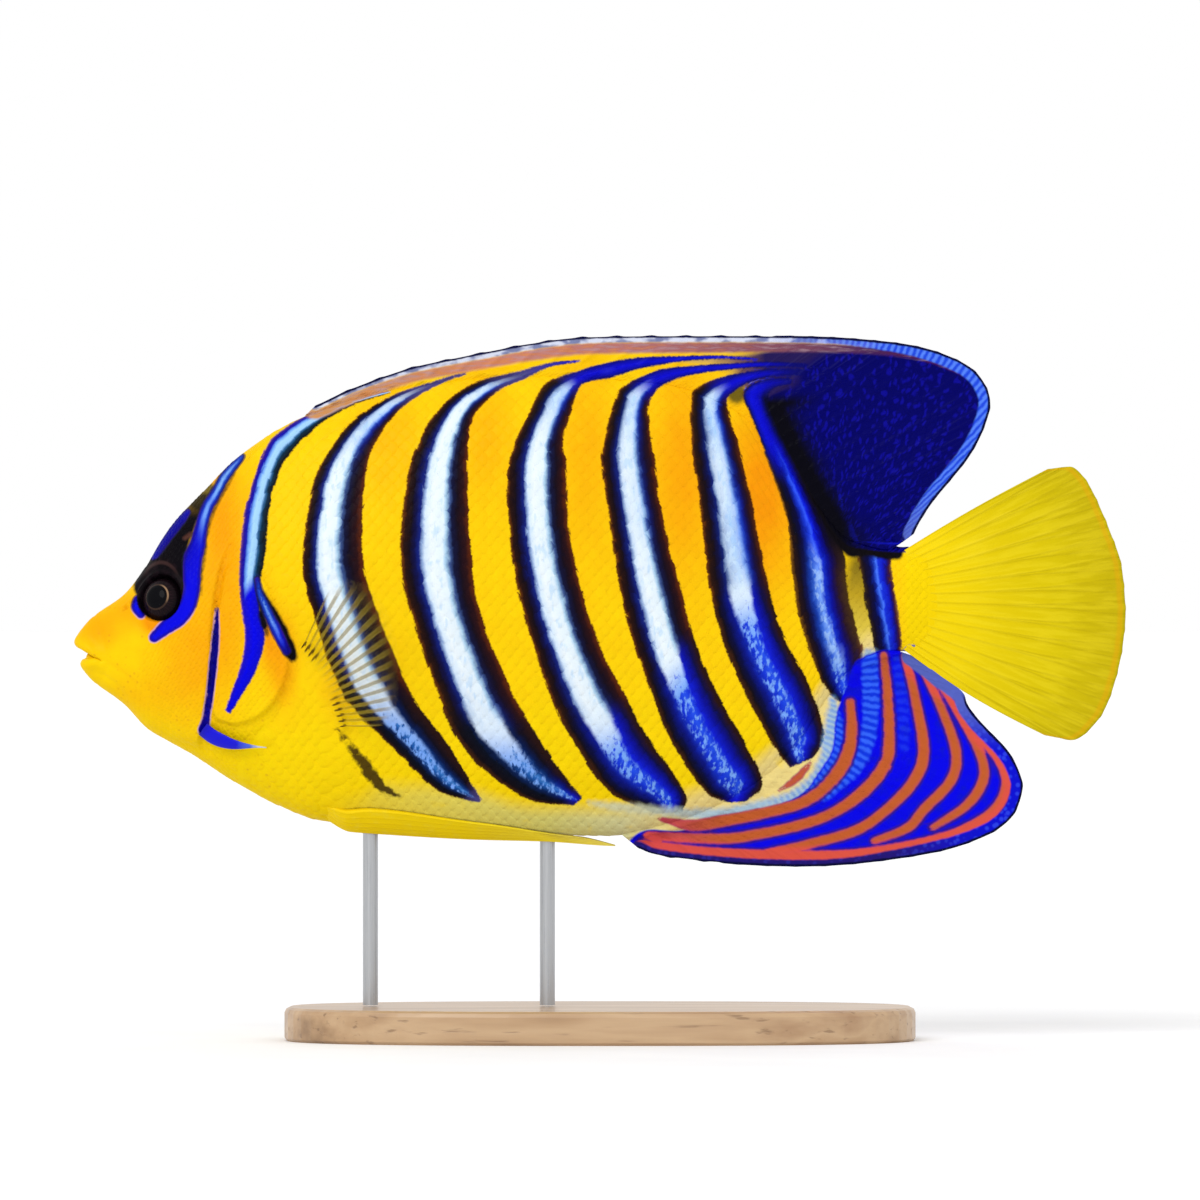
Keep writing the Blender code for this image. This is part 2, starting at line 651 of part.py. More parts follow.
def paired_sheet(name, grid, roots, rises, look, normals=None):
    """A curved fin from a grid of middle points, thickened along its own normals unless some are given."""
    mid = np.array(grid)
    if normals is None:
        normals = np.cross(np.gradient(mid, axis=0), np.gradient(mid, axis=1))
        normals /= np.linalg.norm(normals, axis=2, keepdims=True)
    near, far = mid + normals * rises[..., None], mid - normals * rises[..., None]
    if roots is not None:
        near[:, 0], far[:, 0] = roots
    return double_sheet(name, near.tolist(), far.tolist(), look)


def make_pectoral_fin(name, side):
    """A fan of soft rays from a fleshy root behind the gill cover, held a little off the flank."""
    lengths = profile(PECTORAL_LENGTHS)
    at, ridges = fin_columns(PECTORAL_RAYS, COLUMNS_PER_RAY)
    grid, front_roots, rear_roots = [], [], []
    rises = np.zeros((len(at), FIN_ROWS + 1))
    for i, (place_across, ridge) in enumerate(zip(at, ridges)):
        share = place_across / (PECTORAL_RAYS - 1)
        station = np.interp(share, (0, 1), PECTORAL_ROOT["back"])
        height = np.interp(share, (0, 1), PECTORAL_ROOT["height"])
        here, to_back, to_top, outward = skin_frame(station, height, side)
        behind = skin_frame(station + PECTORAL_ROOT["thickness"], height, side)[0]
        front_roots.append(here + GAP * outward)
        rear_roots.append(behind + GAP * outward)
        middle = (front_roots[-1] + rear_roots[-1]) / 2
        angle = math.radians(np.interp(share, (0, 1), PECTORAL_ANGLES))
        spread = math.radians(PECTORAL_SPREAD)
        along_flank = math.cos(angle) * to_back + math.sin(angle) * to_top
        ray = math.cos(spread) * along_flank + math.sin(spread) * outward
        column = []
        for row in range(FIN_ROWS + 1):
            out = row / FIN_ROWS
            column.append(middle + ray * lengths(share) * out + outward * PECTORAL_BEND * out * (1 - out))
            rises[i, row] = MEMBRANE + 0.5 * smooth_step(1 - out / 0.25) + RAY_RISE * (1 - 0.75 * out) * ridge
        grid.append(column)
    roots = (np.array(front_roots), np.array(rear_roots))
    if np.dot(np.cross(grid[1][3] - grid[0][3], grid[0][4] - grid[0][3]), (-1.0, 0.0, 0.0)) < 0:
        roots = roots[::-1]
    paired_sheet(name, grid, roots, rises, material("clear_fin", 0.3))


def make_pelvic_fin(name, side):
    """A long narrow fin folded back against the belly, its spine along the lower edge."""
    inner, outer, droop = profile(PELVIC_INNER_EDGE), profile(PELVIC_OUTER_EDGE), profile(PELVIC_DROOP)
    at, ridges = fin_columns(PELVIC_RAYS, COLUMNS_PER_RAY)
    rows = 12
    grid = []
    rises = np.zeros((len(at), rows + 1))
    for i, (place_across, ridge) in enumerate(zip(at, ridges)):
        share = place_across / (PELVIC_RAYS - 1)
        column = []
        for row in range(rows + 1):
            out = row / rows
            station = PELVIC_ROOT + (PELVIC_TIP - PELVIC_ROOT) * out * (1 - 0.12 * share * out)
            aside = inner(out) + (outer(out) - inner(out)) * share
            half = MEMBRANE + 0.35 * (1 - out) ** 2 + RAY_RISE * (1 - 0.7 * out) * ridge
            drop = GAP + 0.15 + half + droop(out) * (1 - share) ** 1.5
            column.append(np.array([station, side * aside, underside(station, aside) - drop]))
            rises[i, row] = half
        grid.append(column)
    tilt = math.radians(PELVIC_TILT)
    thick_along = np.array([0.0, -side * math.sin(tilt), math.cos(tilt)])
    paired_sheet(name, grid, None, rises, material("yellow", 0.35), thick_along)


def make_stand():
    """A flat oval base, and two rods whose tops follow the belly."""
    base_height = BASE_THICKNESS - AXIS_HEIGHT
    around, points, faces = 64, [], []
    levels = [
        (0.0, BASE_EDGE / 2), (BASE_EDGE / 2, 0.0), (BASE_THICKNESS - BASE_EDGE, 0.0),
        (BASE_THICKNESS - BASE_EDGE / 3, BASE_EDGE / 3), (BASE_THICKNESS, BASE_EDGE),
    ]
    for level, inset in levels:
        for k in range(around):
            turn = 2 * math.pi * k / around
            reach, wide = BASE_LENGTH / 2 - inset, BASE_WIDTH / 2 - inset
            power = 2 / 2.6
            points.append((
                TOTAL_LENGTH / 2 + reach * math.copysign(abs(math.cos(turn)) ** power, math.cos(turn)),
                wide * math.copysign(abs(math.sin(turn)) ** power, math.sin(turn)),
                level - AXIS_HEIGHT,
            ))
    for i in range(len(levels) - 1):
        for k in range(around):
            a, b = i * around + k, i * around + (k + 1) % around
            faces.append((a, b, b + around, a + around))
    faces += [tuple(range(around)), tuple(range(len(points) - around, len(points)))]
    add_object("stand_base", points, faces, material("oak", 0.5))
    for name, station in ROD_STATIONS.items():
        make_rod(name, station, base_height + GAP)


def make_rod(name, station, foot, around=20):
    points = []
    for top in (False, True):
        for k in range(around):
            turn = 2 * math.pi * k / around
            at, aside = station + ROD_RADIUS * math.cos(turn), ROD_RADIUS * math.sin(turn)
            points.append((at, aside, underside(at, aside) - GAP if top else foot))
    points += [(station, 0.0, foot), (station, 0.0, underside(station, 0.0) - GAP)]
    faces = []
    for k in range(around):
        following = (k + 1) % around
        faces.append((k, following, following + around, k + around))
        faces.append((2 * around, following, k))
        faces.append((2 * around + 1, k + around, following + around))
    add_object(name, points, faces, material("steel", 0.25, 1.0))


def main():
    for obj in list(bpy.data.objects):
        bpy.data.objects.remove(obj)
    make_head()
    torso = [trunk_ring(s) for s in np.linspace(HEAD_END + GAP / 2, STALK_CUT - GAP / 2, 22)]
    loft("torso", torso, material("yellow", 0.35))
    stalk = [trunk_ring(s) for s in np.linspace(STALK_CUT + GAP / 2, STALK_END, 4)]
    loft("tail_stalk", stalk, material("royal_blue", 0.35))
    make_dorsal_fin()
    make_anal_fin()
    make_tail_fin()
    for name, side in (("left", -1), ("right", 1)):
        make_eye(f"eye_{name}", side, 0.0, material("eye", 0.08))
        make_gill_cover(f"gill_cover_{name}", side)
        make_cheek_spine(f"cheek_spine_{name}", side)
        make_pectoral_fin(f"pectoral_fin_{name}", side)
        make_pelvic_fin(f"pelvic_fin_{name}", side)
    make_stand()


main()
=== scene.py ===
"""The looks of the regal angelfish model: skin, scales, fins, eyes, markings, stand and light.

Shapes are worked out in millimetres in the fish's own frame, as in the part's source: the
distance back from the tip of the snout, the distance aside of the middle plane, and the height
above the long axis. to_frame() takes them to the model's frame, in metres. The left flank,
which the camera sees, is at -Y.
"""

import math

import bpy
import numpy as np
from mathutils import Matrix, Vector


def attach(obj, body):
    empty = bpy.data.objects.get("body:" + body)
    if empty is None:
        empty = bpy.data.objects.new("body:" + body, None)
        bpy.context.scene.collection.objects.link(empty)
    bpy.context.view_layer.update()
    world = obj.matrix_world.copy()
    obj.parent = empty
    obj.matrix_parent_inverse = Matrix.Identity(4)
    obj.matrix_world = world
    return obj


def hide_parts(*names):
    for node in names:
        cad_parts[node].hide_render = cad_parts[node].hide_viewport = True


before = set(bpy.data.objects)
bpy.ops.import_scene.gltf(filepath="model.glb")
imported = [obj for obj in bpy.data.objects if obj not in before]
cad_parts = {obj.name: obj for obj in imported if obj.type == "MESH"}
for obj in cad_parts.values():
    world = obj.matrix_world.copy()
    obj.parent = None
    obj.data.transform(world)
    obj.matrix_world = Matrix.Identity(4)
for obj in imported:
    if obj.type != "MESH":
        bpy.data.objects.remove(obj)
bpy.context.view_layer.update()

MM = 0.001
TOTAL_LENGTH = 220.0
AXIS_HEIGHT = 92.0

# The trunk without its fins, as in the part's source
BACK_LINE = [
    (1.2, -7.2), (2.0, -5.4), (3.2, -4.0), (5.4, -2.4), (10.5, 1.2), (15.5, 7.9), (18.0, 12.3), (20.5, 15.9),
    (27.0, 22.8), (34.5, 30.2), (47.5, 38.2), (68.0, 44.6), (95.0, 47.4), (122.0, 46.2), (138.0, 41.0),
    (153.0, 24.5), (163.0, 13.4), (174.0, 11.2), (183.0, 11.6),
]
BELLY_LINE = [
    (1.2, -14.2), (2.0, -15.4), (3.2, -16.6), (5.4, -18.1), (10.5, -21.8), (15.5, -27.0), (20.5, -29.7),
    (34.7, -38.8), (43.1, -43.2), (51.4, -46.2), (68.0, -47.7), (90.0, -48.9), (112.0, -49.4),
    (126.0, -46.8), (139.0, -41.4), (150.0, -33.0), (158.0, -21.0), (166.0, -12.8), (174.0, -10.8),
    (183.0, -11.2),
]
HALF_WIDTH = [
    (1.2, 1.4), (2.0, 2.2), (3.2, 3.1), (5.0, 4.0), (8.0, 5.5), (15.0, 8.2), (25.0, 11.0), (38.0, 13.6),
    (55.0, 15.6), (75.0, 16.0), (95.0, 14.6), (115.0, 12.0), (135.0, 8.8), (150.0, 6.3), (163.0, 4.6),
    (174.0, 3.4), (178.0, 2.4), (183.0, 0.5),
]
WIDEST_HEIGHT = [
    (1.2, -10.5), (8.0, -11.0), (20.0, -9.0), (40.0, -6.0), (70.0, -3.0), (110.0, -1.0), (174.0, 0.0)
]
ROUNDNESS_ABOVE = 1.85
ROUNDNESS_BELOW = 2.1

# Cheek, gill cover, mouth, nostrils and eyes
CHEEK_EDGE = [(-30.0, 26.8), (-22.0, 28.1), (-13.0, 29.1), (-3.0, 29.8), (6.0, 31.2), (14.0, 33.4)]
CHEEK_EDGE_MIDDLE = 29.2
CHEEK_RISE = 1.1
CHEEK_RISE_HEIGHTS = {"lowest": -33.0, "full_above": -27.0, "full_below": 4.0, "highest": 12.0}
CHEEK_RISE_START = 13.0
COVER_REAR = [
    (34.0, 9.0), (38.6, 7.4), (41.0, 3.4), (43.3, -2.2), (45.5, -8.4), (45.9, -12.8), (44.6, -18.0),
    (42.0, -22.2), (38.4, -25.0), (34.0, -26.2),
]
COVER_FRONT = [(30.0, -25.0), (29.1, -22.0), (29.6, -13.0), (30.3, -3.0), (31.7, 6.0)]
COVER_RISE = 0.95
COVER_RIM = {"rise": 0.22, "inside": 1.1, "width": 0.7, "from_station": 36.0}
LIP_CORNER = (5.9, 3.7, -12.7)
UPPER_LIP = {"front": 1.65, "height": -8.6, "radius": 1.65, "corner_radius": 0.8}
LOWER_LIP = {"front": 2.75, "height": -13.5, "radius": 1.45, "corner_radius": 0.65}
# Turns, in degrees, of the points over each lip
LIP_TILTS = (-78, -45, -12, 20, 50)
MOUTH_SLIT = {"front": (2.9, 0.0, -11.2), "corner": (5.6, 3.3, -12.6)}
NOSTRILS = [(10.9, -1.7, 0.5), (12.6, -0.4, 0.6)]
EYE_CENTRE = (18.0, 0.5)
EYE_RADIUS = 4.6
EYE_DEPTH = 3.3
EYE_STANDS_OUT = 1.1
IRIS_RADIUS = 4.5
BROW_SPOT = [(23.4, 12.9, 0.5), (24.7, 13.7, 0.6)]
SOCKET = {"radius": 5.05, "slope": 0.9, "depth": 2.9, "reach": (8.0, 30.0)}
SOCKET_RIM = {"radius": 5.5, "width": 0.55, "rise": 0.30}
UPPER_LID = {"radius": 7.4, "width": 0.8, "rise": 0.12, "from_height": 1.0}
ORBIT = {"station": 18.4, "height": 2.6, "half_long": 4.9, "half_high": 6.3}
CORNEA_RISE = 0.35
# The direction from the pupil to the middle of the painted highlight on its golden ring
GLINT_TOWARDS = (0.94, 0.0, 0.34)
CHEEK_SPINE = [(27.3, -26.9), (29.8, -28.7), (34.0, -30.1), (40.6, -30.7)]
CHEEK_SPINE_WIDTH = 3.0
CHEEK_SPINE_THICKNESS = 1.2

# Fins, as in the part's source
DORSAL_MARGIN = [
    (50.5, 40.7), (58.5, 44.5), (70.0, 48.6), (79.5, 50.7), (89.1, 52.6), (96.2, 53.9), (108.0, 55.2),
    (135.0, 55.4), (154.9, 55.2), (166.2, 54.5), (175.0, 53.4), (181.7, 51.6), (187.4, 48.8), (190.5, 45.3),
    (191.7, 40.9), (190.1, 35.3), (187.4, 30.2), (184.0, 25.8), (180.0, 21.0), (177.3, 17.0), (175.6, 13.8),
]
ANAL_MARGIN = [
    (118.0, -51.9), (122.5, -53.6), (136.5, -55.2), (150.6, -55.8), (161.8, -55.4), (172.9, -54.1),
    (181.3, -52.6), (187.0, -50.9), (192.6, -48.4), (196.5, -45.0), (198.4, -40.0), (197.8, -36.0),
    (195.3, -31.4), (191.5, -27.4), (188.4, -24.0), (186.9, -21.7), (185.8, -19.2), (181.0, -15.7),
    (176.4, -12.3), (175.2, -11.6),
]
TAIL_MARGIN = [
    (203.6, 27.4), (207.6, 27.9), (209.7, 27.4), (212.2, 24.4), (214.5, 19.8), (217.0, 13.7), (219.1, 7.4),
    (220.0, -1.5), (219.8, -6.5), (219.0, -12.2), (217.3, -18.7), (215.2, -23.7), (212.3, -27.3),
    (209.4, -29.3), (206.0, -28.9), (203.0, -28.3),
]
DORSAL_ROOT, DORSAL_SPINES, DORSAL_RAYS = (48.5, 172.0), 14, 19
DORSAL_SOFT_START = {"root": 0.62, "margin": 0.56}
ANAL_ROOT, ANAL_SPINES, ANAL_RAYS = (114.8, 173.0), 3, 18
ANAL_SOFT_START = {"root": 0.16, "margin": 0.17}
TAIL_RAYS, TAIL_ROOT, TAIL_ROOT_HEIGHTS = 17, 174.0, (10.5, -10.4)
TAIL_EDGE_BOWS = (0.5, -1.1)
PECTORAL_RAYS = 16
PECTORAL_ROOT = {"back": (46.8, 54.6), "height": (-10.8, -26.2), "thickness": 2.0}
PECTORAL_ANGLES = (60.0, 9.0)
PECTORAL_LENGTHS = [
    (0.0, 20.0), (0.1, 27.5), (0.25, 30.5), (0.45, 28.5), (0.7, 22.5), (0.9, 17.5), (1.0, 12.5)
]
PECTORAL_SPREAD = 38.0
PECTORAL_BEND = 2.5
PECTORAL_SUNK = 0.4
PELVIC_RAYS = 6
PELVIC_ROOT, PELVIC_TIP = 52.5, 113.2
PELVIC_INNER_EDGE = [(0.0, 2.4), (0.75, 2.4), (1.0, 0.6)]
PELVIC_OUTER_EDGE = [(0.0, 5.6), (0.2, 7.4), (0.6, 5.6), (1.0, 1.9)]
PELVIC_TILT = 25.0
PELVIC_DROOP = [(0.0, 0.2), (0.15, 0.5), (0.5, 0.9), (0.8, 1.1), (1.0, 1.4)]

# Bars across the flank: the front and the rear edge of each, from the top down
BARS = {
    "nape": (
        [(66.0, 43.7), (58.0, 41.7), (52.3, 40.0), (47.3, 37.9), (43.1, 35.0), (41.0, 33.0), (38.6, 27.5),
         (36.9, 21.7), (35.7, 15.8), (35.1, 8.0), (35.2, 1.0), (36.2, -7.6), (35.4, -13.5), (33.4, -19.3),
         (32.0, -23.0)],
        [(66.0, 43.3), (58.0, 40.6), (52.3, 37.3), (49.5, 35.0), (47.0, 32.6), (44.6, 29.6), (43.0, 26.5),
         (41.4, 20.6), (40.6, 14.3), (40.2, 9.0), (39.2, 3.0), (39.3, -2.0), (40.3, -7.6), (38.9, -13.5),
         (36.6, -18.0), (33.0, -23.6)],
    ),
    "first": (
        [(82.0, 47.6), (77.6, 46.4), (67.1, 42.8), (59.2, 38.0), (55.0, 33.0), (50.6, 25.0), (48.3, 8.3),
         (50.2, -1.8), (55.4, -17.2), (60.2, -24.1), (67.1, -30.8), (75.9, -39.4), (84.5, -42.2)],
        [(82.0, 47.2), (77.6, 45.6), (71.5, 42.4), (66.9, 38.4), (63.6, 33.4), (61.7, 29.0), (60.6, 18.7),
         (60.6, 8.3), (63.1, -0.9), (69.0, -15.8), (72.8, -22.9), (76.7, -27.7), (81.5, -35.4),
         (85.5, -41.9)],
    ),
    "second": (
        [(106.0, 50.2), (99.7, 49.6), (92.4, 47.6), (85.3, 45.9), (79.5, 42.8), (75.5, 38.4), (72.6, 33.4),
         (70.0, 25.0), (68.6, 8.3), (71.1, -3.6), (77.6, -22.9), (81.5, -30.6), (87.0, -36.3), (95.6, -41.7),
         (104.5, -42.8)],
        [(106.0, 49.8), (99.7, 48.8), (94.3, 46.3), (89.1, 43.8), (84.1, 39.0), (82.6, 33.4), (82.4, 25.0),
         (83.4, 7.0), (85.7, -4.7), (91.4, -18.7), (96.4, -27.3), (101.6, -35.4), (106.2, -41.3)],
    ),
    "third": (
        [(143.0, 50.6), (135.0, 51.1), (127.8, 51.0), (118.6, 50.7), (111.0, 49.5), (104.8, 47.6),
         (98.9, 45.3), (96.0, 40.3), (91.2, 29.2), (91.0, 17.5), (93.0, 2.0), (99.3, -18.9), (104.5, -29.4),
         (111.9, -39.8), (121.5, -44.4)],
        [(143.0, 50.2), (135.0, 50.4), (127.8, 50.0), (118.4, 48.4), (112.3, 46.5), (107.1, 45.5),
         (105.2, 43.2), (102.2, 33.2), (102.9, 27.9), (103.5, 14.6), (106.2, 2.0), (109.4, -8.4),
         (114.6, -18.9), (120.4, -29.4), (127.6, -39.8), (127.0, -44.4)],
    ),
    "fourth": (
        [(153.5, 49.4), (145.0, 49.8), (136.1, 49.4), (128.8, 48.9), (122.1, 48.0), (115.2, 44.7),
         (113.3, 41.7), (111.0, 33.4), (110.4, 28.8), (112.1, 16.0), (114.4, 2.0), (116.9, -8.4),
         (120.7, -18.9), (124.8, -29.4), (131.9, -39.8), (136.8, -42.3)],
        [(153.5, 48.7), (145.0, 48.8), (136.1, 48.1), (128.8, 47.0), (124.2, 45.5), (121.3, 43.4),
         (120.0, 39.6), (120.7, 33.4), (123.2, 16.0), (126.9, 2.0), (129.6, -8.4), (134.0, -18.9),
         (139.9, -29.4), (143.9, -38.2), (140.5, -42.1)],
    ),
    "fifth": (
        [(155.0, 48.2), (147.0, 48.3), (140.3, 47.6), (134.7, 46.3), (130.9, 44.7), (129.2, 42.2),
         (129.2, 31.9), (130.9, 20.4), (133.0, 2.0), (135.7, -8.4), (140.1, -18.9), (145.7, -29.4),
         (149.7, -35.0)],
        [(155.0, 47.0), (147.0, 46.9), (142.4, 46.0), (138.8, 44.2), (136.5, 41.3), (138.6, 33.2),
         (141.6, 20.4), (145.3, 2.0), (148.7, -8.4), (154.1, -18.9), (156.8, -28.3), (154.6, -32.9)],
    ),
    "sixth": (
        [(150.0, 46.4), (145.0, 46.2), (141.0, 44.8), (139.9, 42.6), (141.5, 38.6), (145.9, 27.0),
         (149.4, 15.0), (150.3, 4.0), (152.9, -8.4), (157.6, -18.9), (161.2, -21.8)],
        [(150.0, 45.2), (146.4, 44.4), (145.2, 42.4), (147.2, 36.6), (152.2, 28.0), (156.8, 19.0),
         (160.0, 12.0), (161.2, 8.3), (161.6, 2.0), (163.3, -5.3), (164.8, -11.2), (163.5, -21.0)],
    ),
    "stalk": (
        [(163.3, 12.4), (164.6, 5.1), (165.6, -1.1), (167.1, -8.4), (167.7, -12.0)],
        [(170.6, 12.4), (171.0, 5.1), (171.9, -0.1), (172.7, -6.4), (173.1, -12.0)],
    ),
}
NAPE_BARS, REAR_BARS = ("nape",), ("sixth", "stalk")
# How wide a bar has to be for its pale core to show
USUAL_CORE_FROM = 3.4
CORE_FROM = {"first": 1.0, "second": 1.4, "third": 3.0, "sixth": 1.8, "stalk": 1.8}
# How far a bar's pale core is shifted to the front, as a share of the bar's width
CORE_AHEAD = {"first": 0.09, "fifth": -0.03}
# The height, by distance from the snout, under which the cores turn deep blue over a length
DEEP_BELOW = [
    (55.0, -10.0), (66.0, -11.0), (80.0, -18.0), (88.0, -18.5), (110.0, -17.5), (118.0, -12.0),
    (126.0, -4.0), (136.0, 8.0), (143.0, 10.0), (160.0, 2.0),
]
DEEP_LENGTH = 22.0

# Blue lines: (distance from the snout, height, half of the width)
BLUE_LINES = {
    "brow": [
        (35.1, 29.9, 0.45), (33.0, 27.5, 0.75), (31.4, 25.4, 0.85), (29.7, 22.1, 0.90), (28.4, 20.0, 0.95),
        (27.4, 17.5, 1.0), (26.7, 14.6, 1.1), (26.1, 11.6, 1.4), (25.2, 8.7, 1.75), (25.0, 5.4, 1.6),
        (24.9, 2.0, 1.5), (24.0, -1.3, 1.55), (22.2, -3.8, 1.5), (19.7, -5.6, 1.25), (17.1, -7.8, 0.8),
    ],
    "forehead": [
        (23.8, 18.3, 0.4), (22.4, 16.6, 0.75), (20.0, 13.6, 0.8), (18.0, 10.8, 0.7), (16.8, 8.8, 0.4)
    ],
    "cheek": [
        (30.3, -2.0, 0.1), (30.1, -7.2, 0.40), (29.6, -12.6, 0.55), (28.9, -18.9, 0.5), (28.0, -24.6, 0.5),
        (27.4, -27.0, 0.9),
    ],
    "snout_patch": [(13.5, 0.1, 0.6), (13.5, -1.4, 1.0), (14.3, -3.0, 0.6)],
    "collar": [
        (38.7, 4.4, 0.25), (39.3, 1.4, 0.5), (40.1, -0.6, 0.65), (41.2, -3.0, 0.75), (43.2, -7.2, 0.85),
        (44.9, -10.6, 0.6),
    ],
}
# Where the blue lines turn pale
PALE_LINE_PATCHES = [
    (34.0, 28.8, 4.0, 4.4, 1.5), (30.6, 23.6, 2.2, 4.6, 1.0), (27.8, 18.0, 1.4, 4.0, 0.75),
    (39.6, 0.4, 2.0, 4.4, 1.3), (41.8, -4.6, 2.0, 5.0, 0.7),
]
# Where the blue lines are at their darkest
DARK_LINE_PATCHES = [
    (20.0, 13.5, 5.0, 7.0, 1.6), (29.4, -12.0, 2.4, 14.0, 1.4), (45.2, -11.4, 2.0, 3.0, 1.2)
]

# Dark markings: outlines, and lines with their half-widths
MASK_OUTLINE = [
    (28.0, 22.2), (25.4, 21.6), (19.5, 16.5), (15.0, 9.5), (12.6, 3.2), (13.8, 0.6), (15.1, -1.3),
    (18.0, -4.2), (21.3, -3.4), (23.4, 1.0), (23.6, 8.3), (24.8, 13.2), (26.4, 17.6),
]
STALK_DARK = [
    (146.2, 42.4), (148.2, 38.0), (152.0, 30.0), (158.0, 20.0), (162.0, 13.4), (165.0, 12.5), (170.5, 11.9),
    (173.4, 11.8), (173.0, 9.0), (170.6, 8.4), (166.0, 9.2), (162.0, 9.2), (158.8, 12.5), (155.0, 19.6),
    (150.8, 28.4), (146.4, 38.0),
]
DARK_LINES = {
    "behind_brow": [
        (33.9, 26.6, 0.1), (32.6, 24.4, 0.2), (30.6, 20.8, 0.25), (28.9, 17.0, 0.2),
        (28.0, 13.0, 0.2), (27.6, 9.0, 0.2), (27.1, 5.4, 0.2), (26.9, 1.2, 0.15),
    ],
    "behind_nape": [(39.0, 1.6, 0.1), (39.6, -1.8, 0.6), (40.1, -4.6, 0.75), (40.9, -7.4, 0.2)],
    "around_collar": [
        (40.0, 1.4, 0.4), (41.7, -2.4, 1.1), (43.9, -7.0, 1.35), (45.6, -10.8, 1.3), (46.2, -12.2, 0.7)
    ],
    "breast_streak": [
        (55.0, -26.6, 0.1), (57.6, -29.6, 0.6), (60.2, -33.2, 0.95), (62.6, -36.6, 1.25), (65.0, -39.4, 0.8),
        (68.4, -41.0, 0.2),
    ],
}

# Soft patches: (distance from the snout, height, reach along, reach up, amount)
WARM_PATCHES = [
    (31.0, 17.0, 6.0, 16.0, 0.60), (26.0, -12.0, 8.0, 16.0, 0.50), (14.0, -20.0, 8.0, 6.0, 0.25),
    (34.0, -4.0, 4.0, 14.0, 0.25), (18.0, -4.5, 3.0, 2.5, 1.20), (44.0, -13.0, 3.0, 9.0, 0.65),
    (41.0, -7.0, 1.6, 6.0, 0.60), (66.0, 34.0, 7.0, 14.0, 0.30), (86.0, 34.0, 7.0, 16.0, 0.35),
    (107.0, 30.0, 7.0, 24.0, 0.40), (127.0, 27.0, 7.0, 24.0, 0.60), (144.0, 22.0, 8.0, 20.0, 0.85),
    (5.0, -6.0, 5.0, 4.0, 0.50), (12.0, -1.5, 5.0, 4.0, 0.45),
    (56.0, -20.0, 4.0, 6.0, 0.25),
]
# How far the bars' pale core turns to sky blue
SKY_PATCHES = [
    (74.0, -30.0, 9.0, 9.0, 1.00), (84.0, -37.0, 9.0, 6.0, 0.80), (98.0, -34.0, 9.0, 9.0, 0.90),
    (118.0, -34.0, 8.0, 9.0, 0.55), (136.0, -32.0, 8.0, 12.0, 0.62), (150.0, -14.0, 7.0, 16.0, 0.80),
    (158.0, -6.0, 5.0, 18.0, 0.80), (100.0, 44.0, 9.0, 7.0, 0.70), (58.0, 35.0, 6.0, 5.0, 0.40),
    (116.0, 40.0, 6.0, 7.0, 0.55), (133.0, 38.0, 5.0, 9.0, 0.75), (40.0, 16.0, 5.0, 26.0, 0.35),
    (66.0, 38.5, 7.0, 6.0, 0.55), (87.0, 45.0, 6.0, 5.0, 0.5), (139.0, 14.0, 5.0, 16.0, 0.75),
    (118.0, 20.0, 5.0, 12.0, 0.25), (42.0, -6.0, 3.4, 8.0, 1.30), (37.0, -12.0, 3.0, 15.0, 1.30),
    (33.5, -20.0, 5.0, 8.0, 1.30),
]
# Olive ground on the tail stalk and between two hooks of the bars, and dusky ground under the dorsal fin
DULL_PATCHES = [(164.5, 0.0, 4.0, 12.0, 1.1), (138.6, 43.3, 2.2, 2.6, 1.1), (26.8, 21.9, 2.8, 3.0, 1.8)]
DUSK_PATCHES = [
    (152.0, 48.2, 12.0, 4.0, 2.4), (147.8, 43.2, 4.0, 2.2, 2.2), (143.0, 45.2, 3.0, 0.8, 0.8),
    (131.0, 50.2, 8.0, 1.0, 0.8),
]

# Fin markings
ORANGE_LINES = {
    "one": [
        (122.5, -45.7, 0.3), (129.0, -47.1, 1.1), (135.5, -46.2, 1.2), (143.9, -44.6, 1.1),
        (152.4, -42.3, 1.1), (157.6, -38.6, 1.2), (161.2, -33.6, 1.3), (162.6, -28.1, 1.1),
        (162.3, -21.4, 0.8),
    ],
    "wedge": [(147.2, -40.0, 0.1), (150.0, -38.2, 0.6), (152.2, -36.2, 0.7), (154.3, -33.6, 0.1)],
    "two": [
        (169.3, -11.6, 0.7), (170.1, -18.9, 0.9), (170.5, -29.0, 1.1), (169.6, -34.4, 1.2),
        (165.2, -40.0, 1.2), (158.9, -44.4, 1.0), (152.4, -46.9, 1.0), (143.9, -48.8, 1.0),
        (135.5, -49.9, 1.0), (120.0, -49.3, 0.8),
    ],
    "three": [
        (173.8, -11.8, 0.7), (175.9, -20.4, 0.9), (177.7, -31.4, 1.1), (175.7, -37.7, 1.1),
        (170.2, -43.6, 1.0), (163.5, -48.2, 1.0), (153.3, -51.1, 0.9), (144.0, -53.2, 0.8),
    ],
    "four": [
        (176.9, -13.4, 0.5), (181.1, -22.0, 0.8), (184.4, -31.4, 1.0), (183.4, -37.7, 1.0),
        (177.7, -43.8, 1.0), (174.4, -47.6, 0.9), (167.3, -50.4, 0.6),
    ],
    "five": [
        (180.9, -17.4, 0.4), (186.3, -26.0, 0.7), (189.7, -32.7, 0.9), (190.1, -37.7, 1.0),
        (186.7, -42.9, 0.9), (179.6, -47.6, 0.6),
    ],
    "six": [
        (187.6, -27.4, 0.3), (193.2, -33.3, 0.7), (194.9, -38.8, 0.9), (192.0, -44.4, 1.0),
        (184.2, -48.9, 1.0), (172.9, -51.8, 1.0), (158.9, -53.4, 0.9), (135.5, -52.9, 0.9),
        (118.5, -51.0, 0.8),
    ],
}
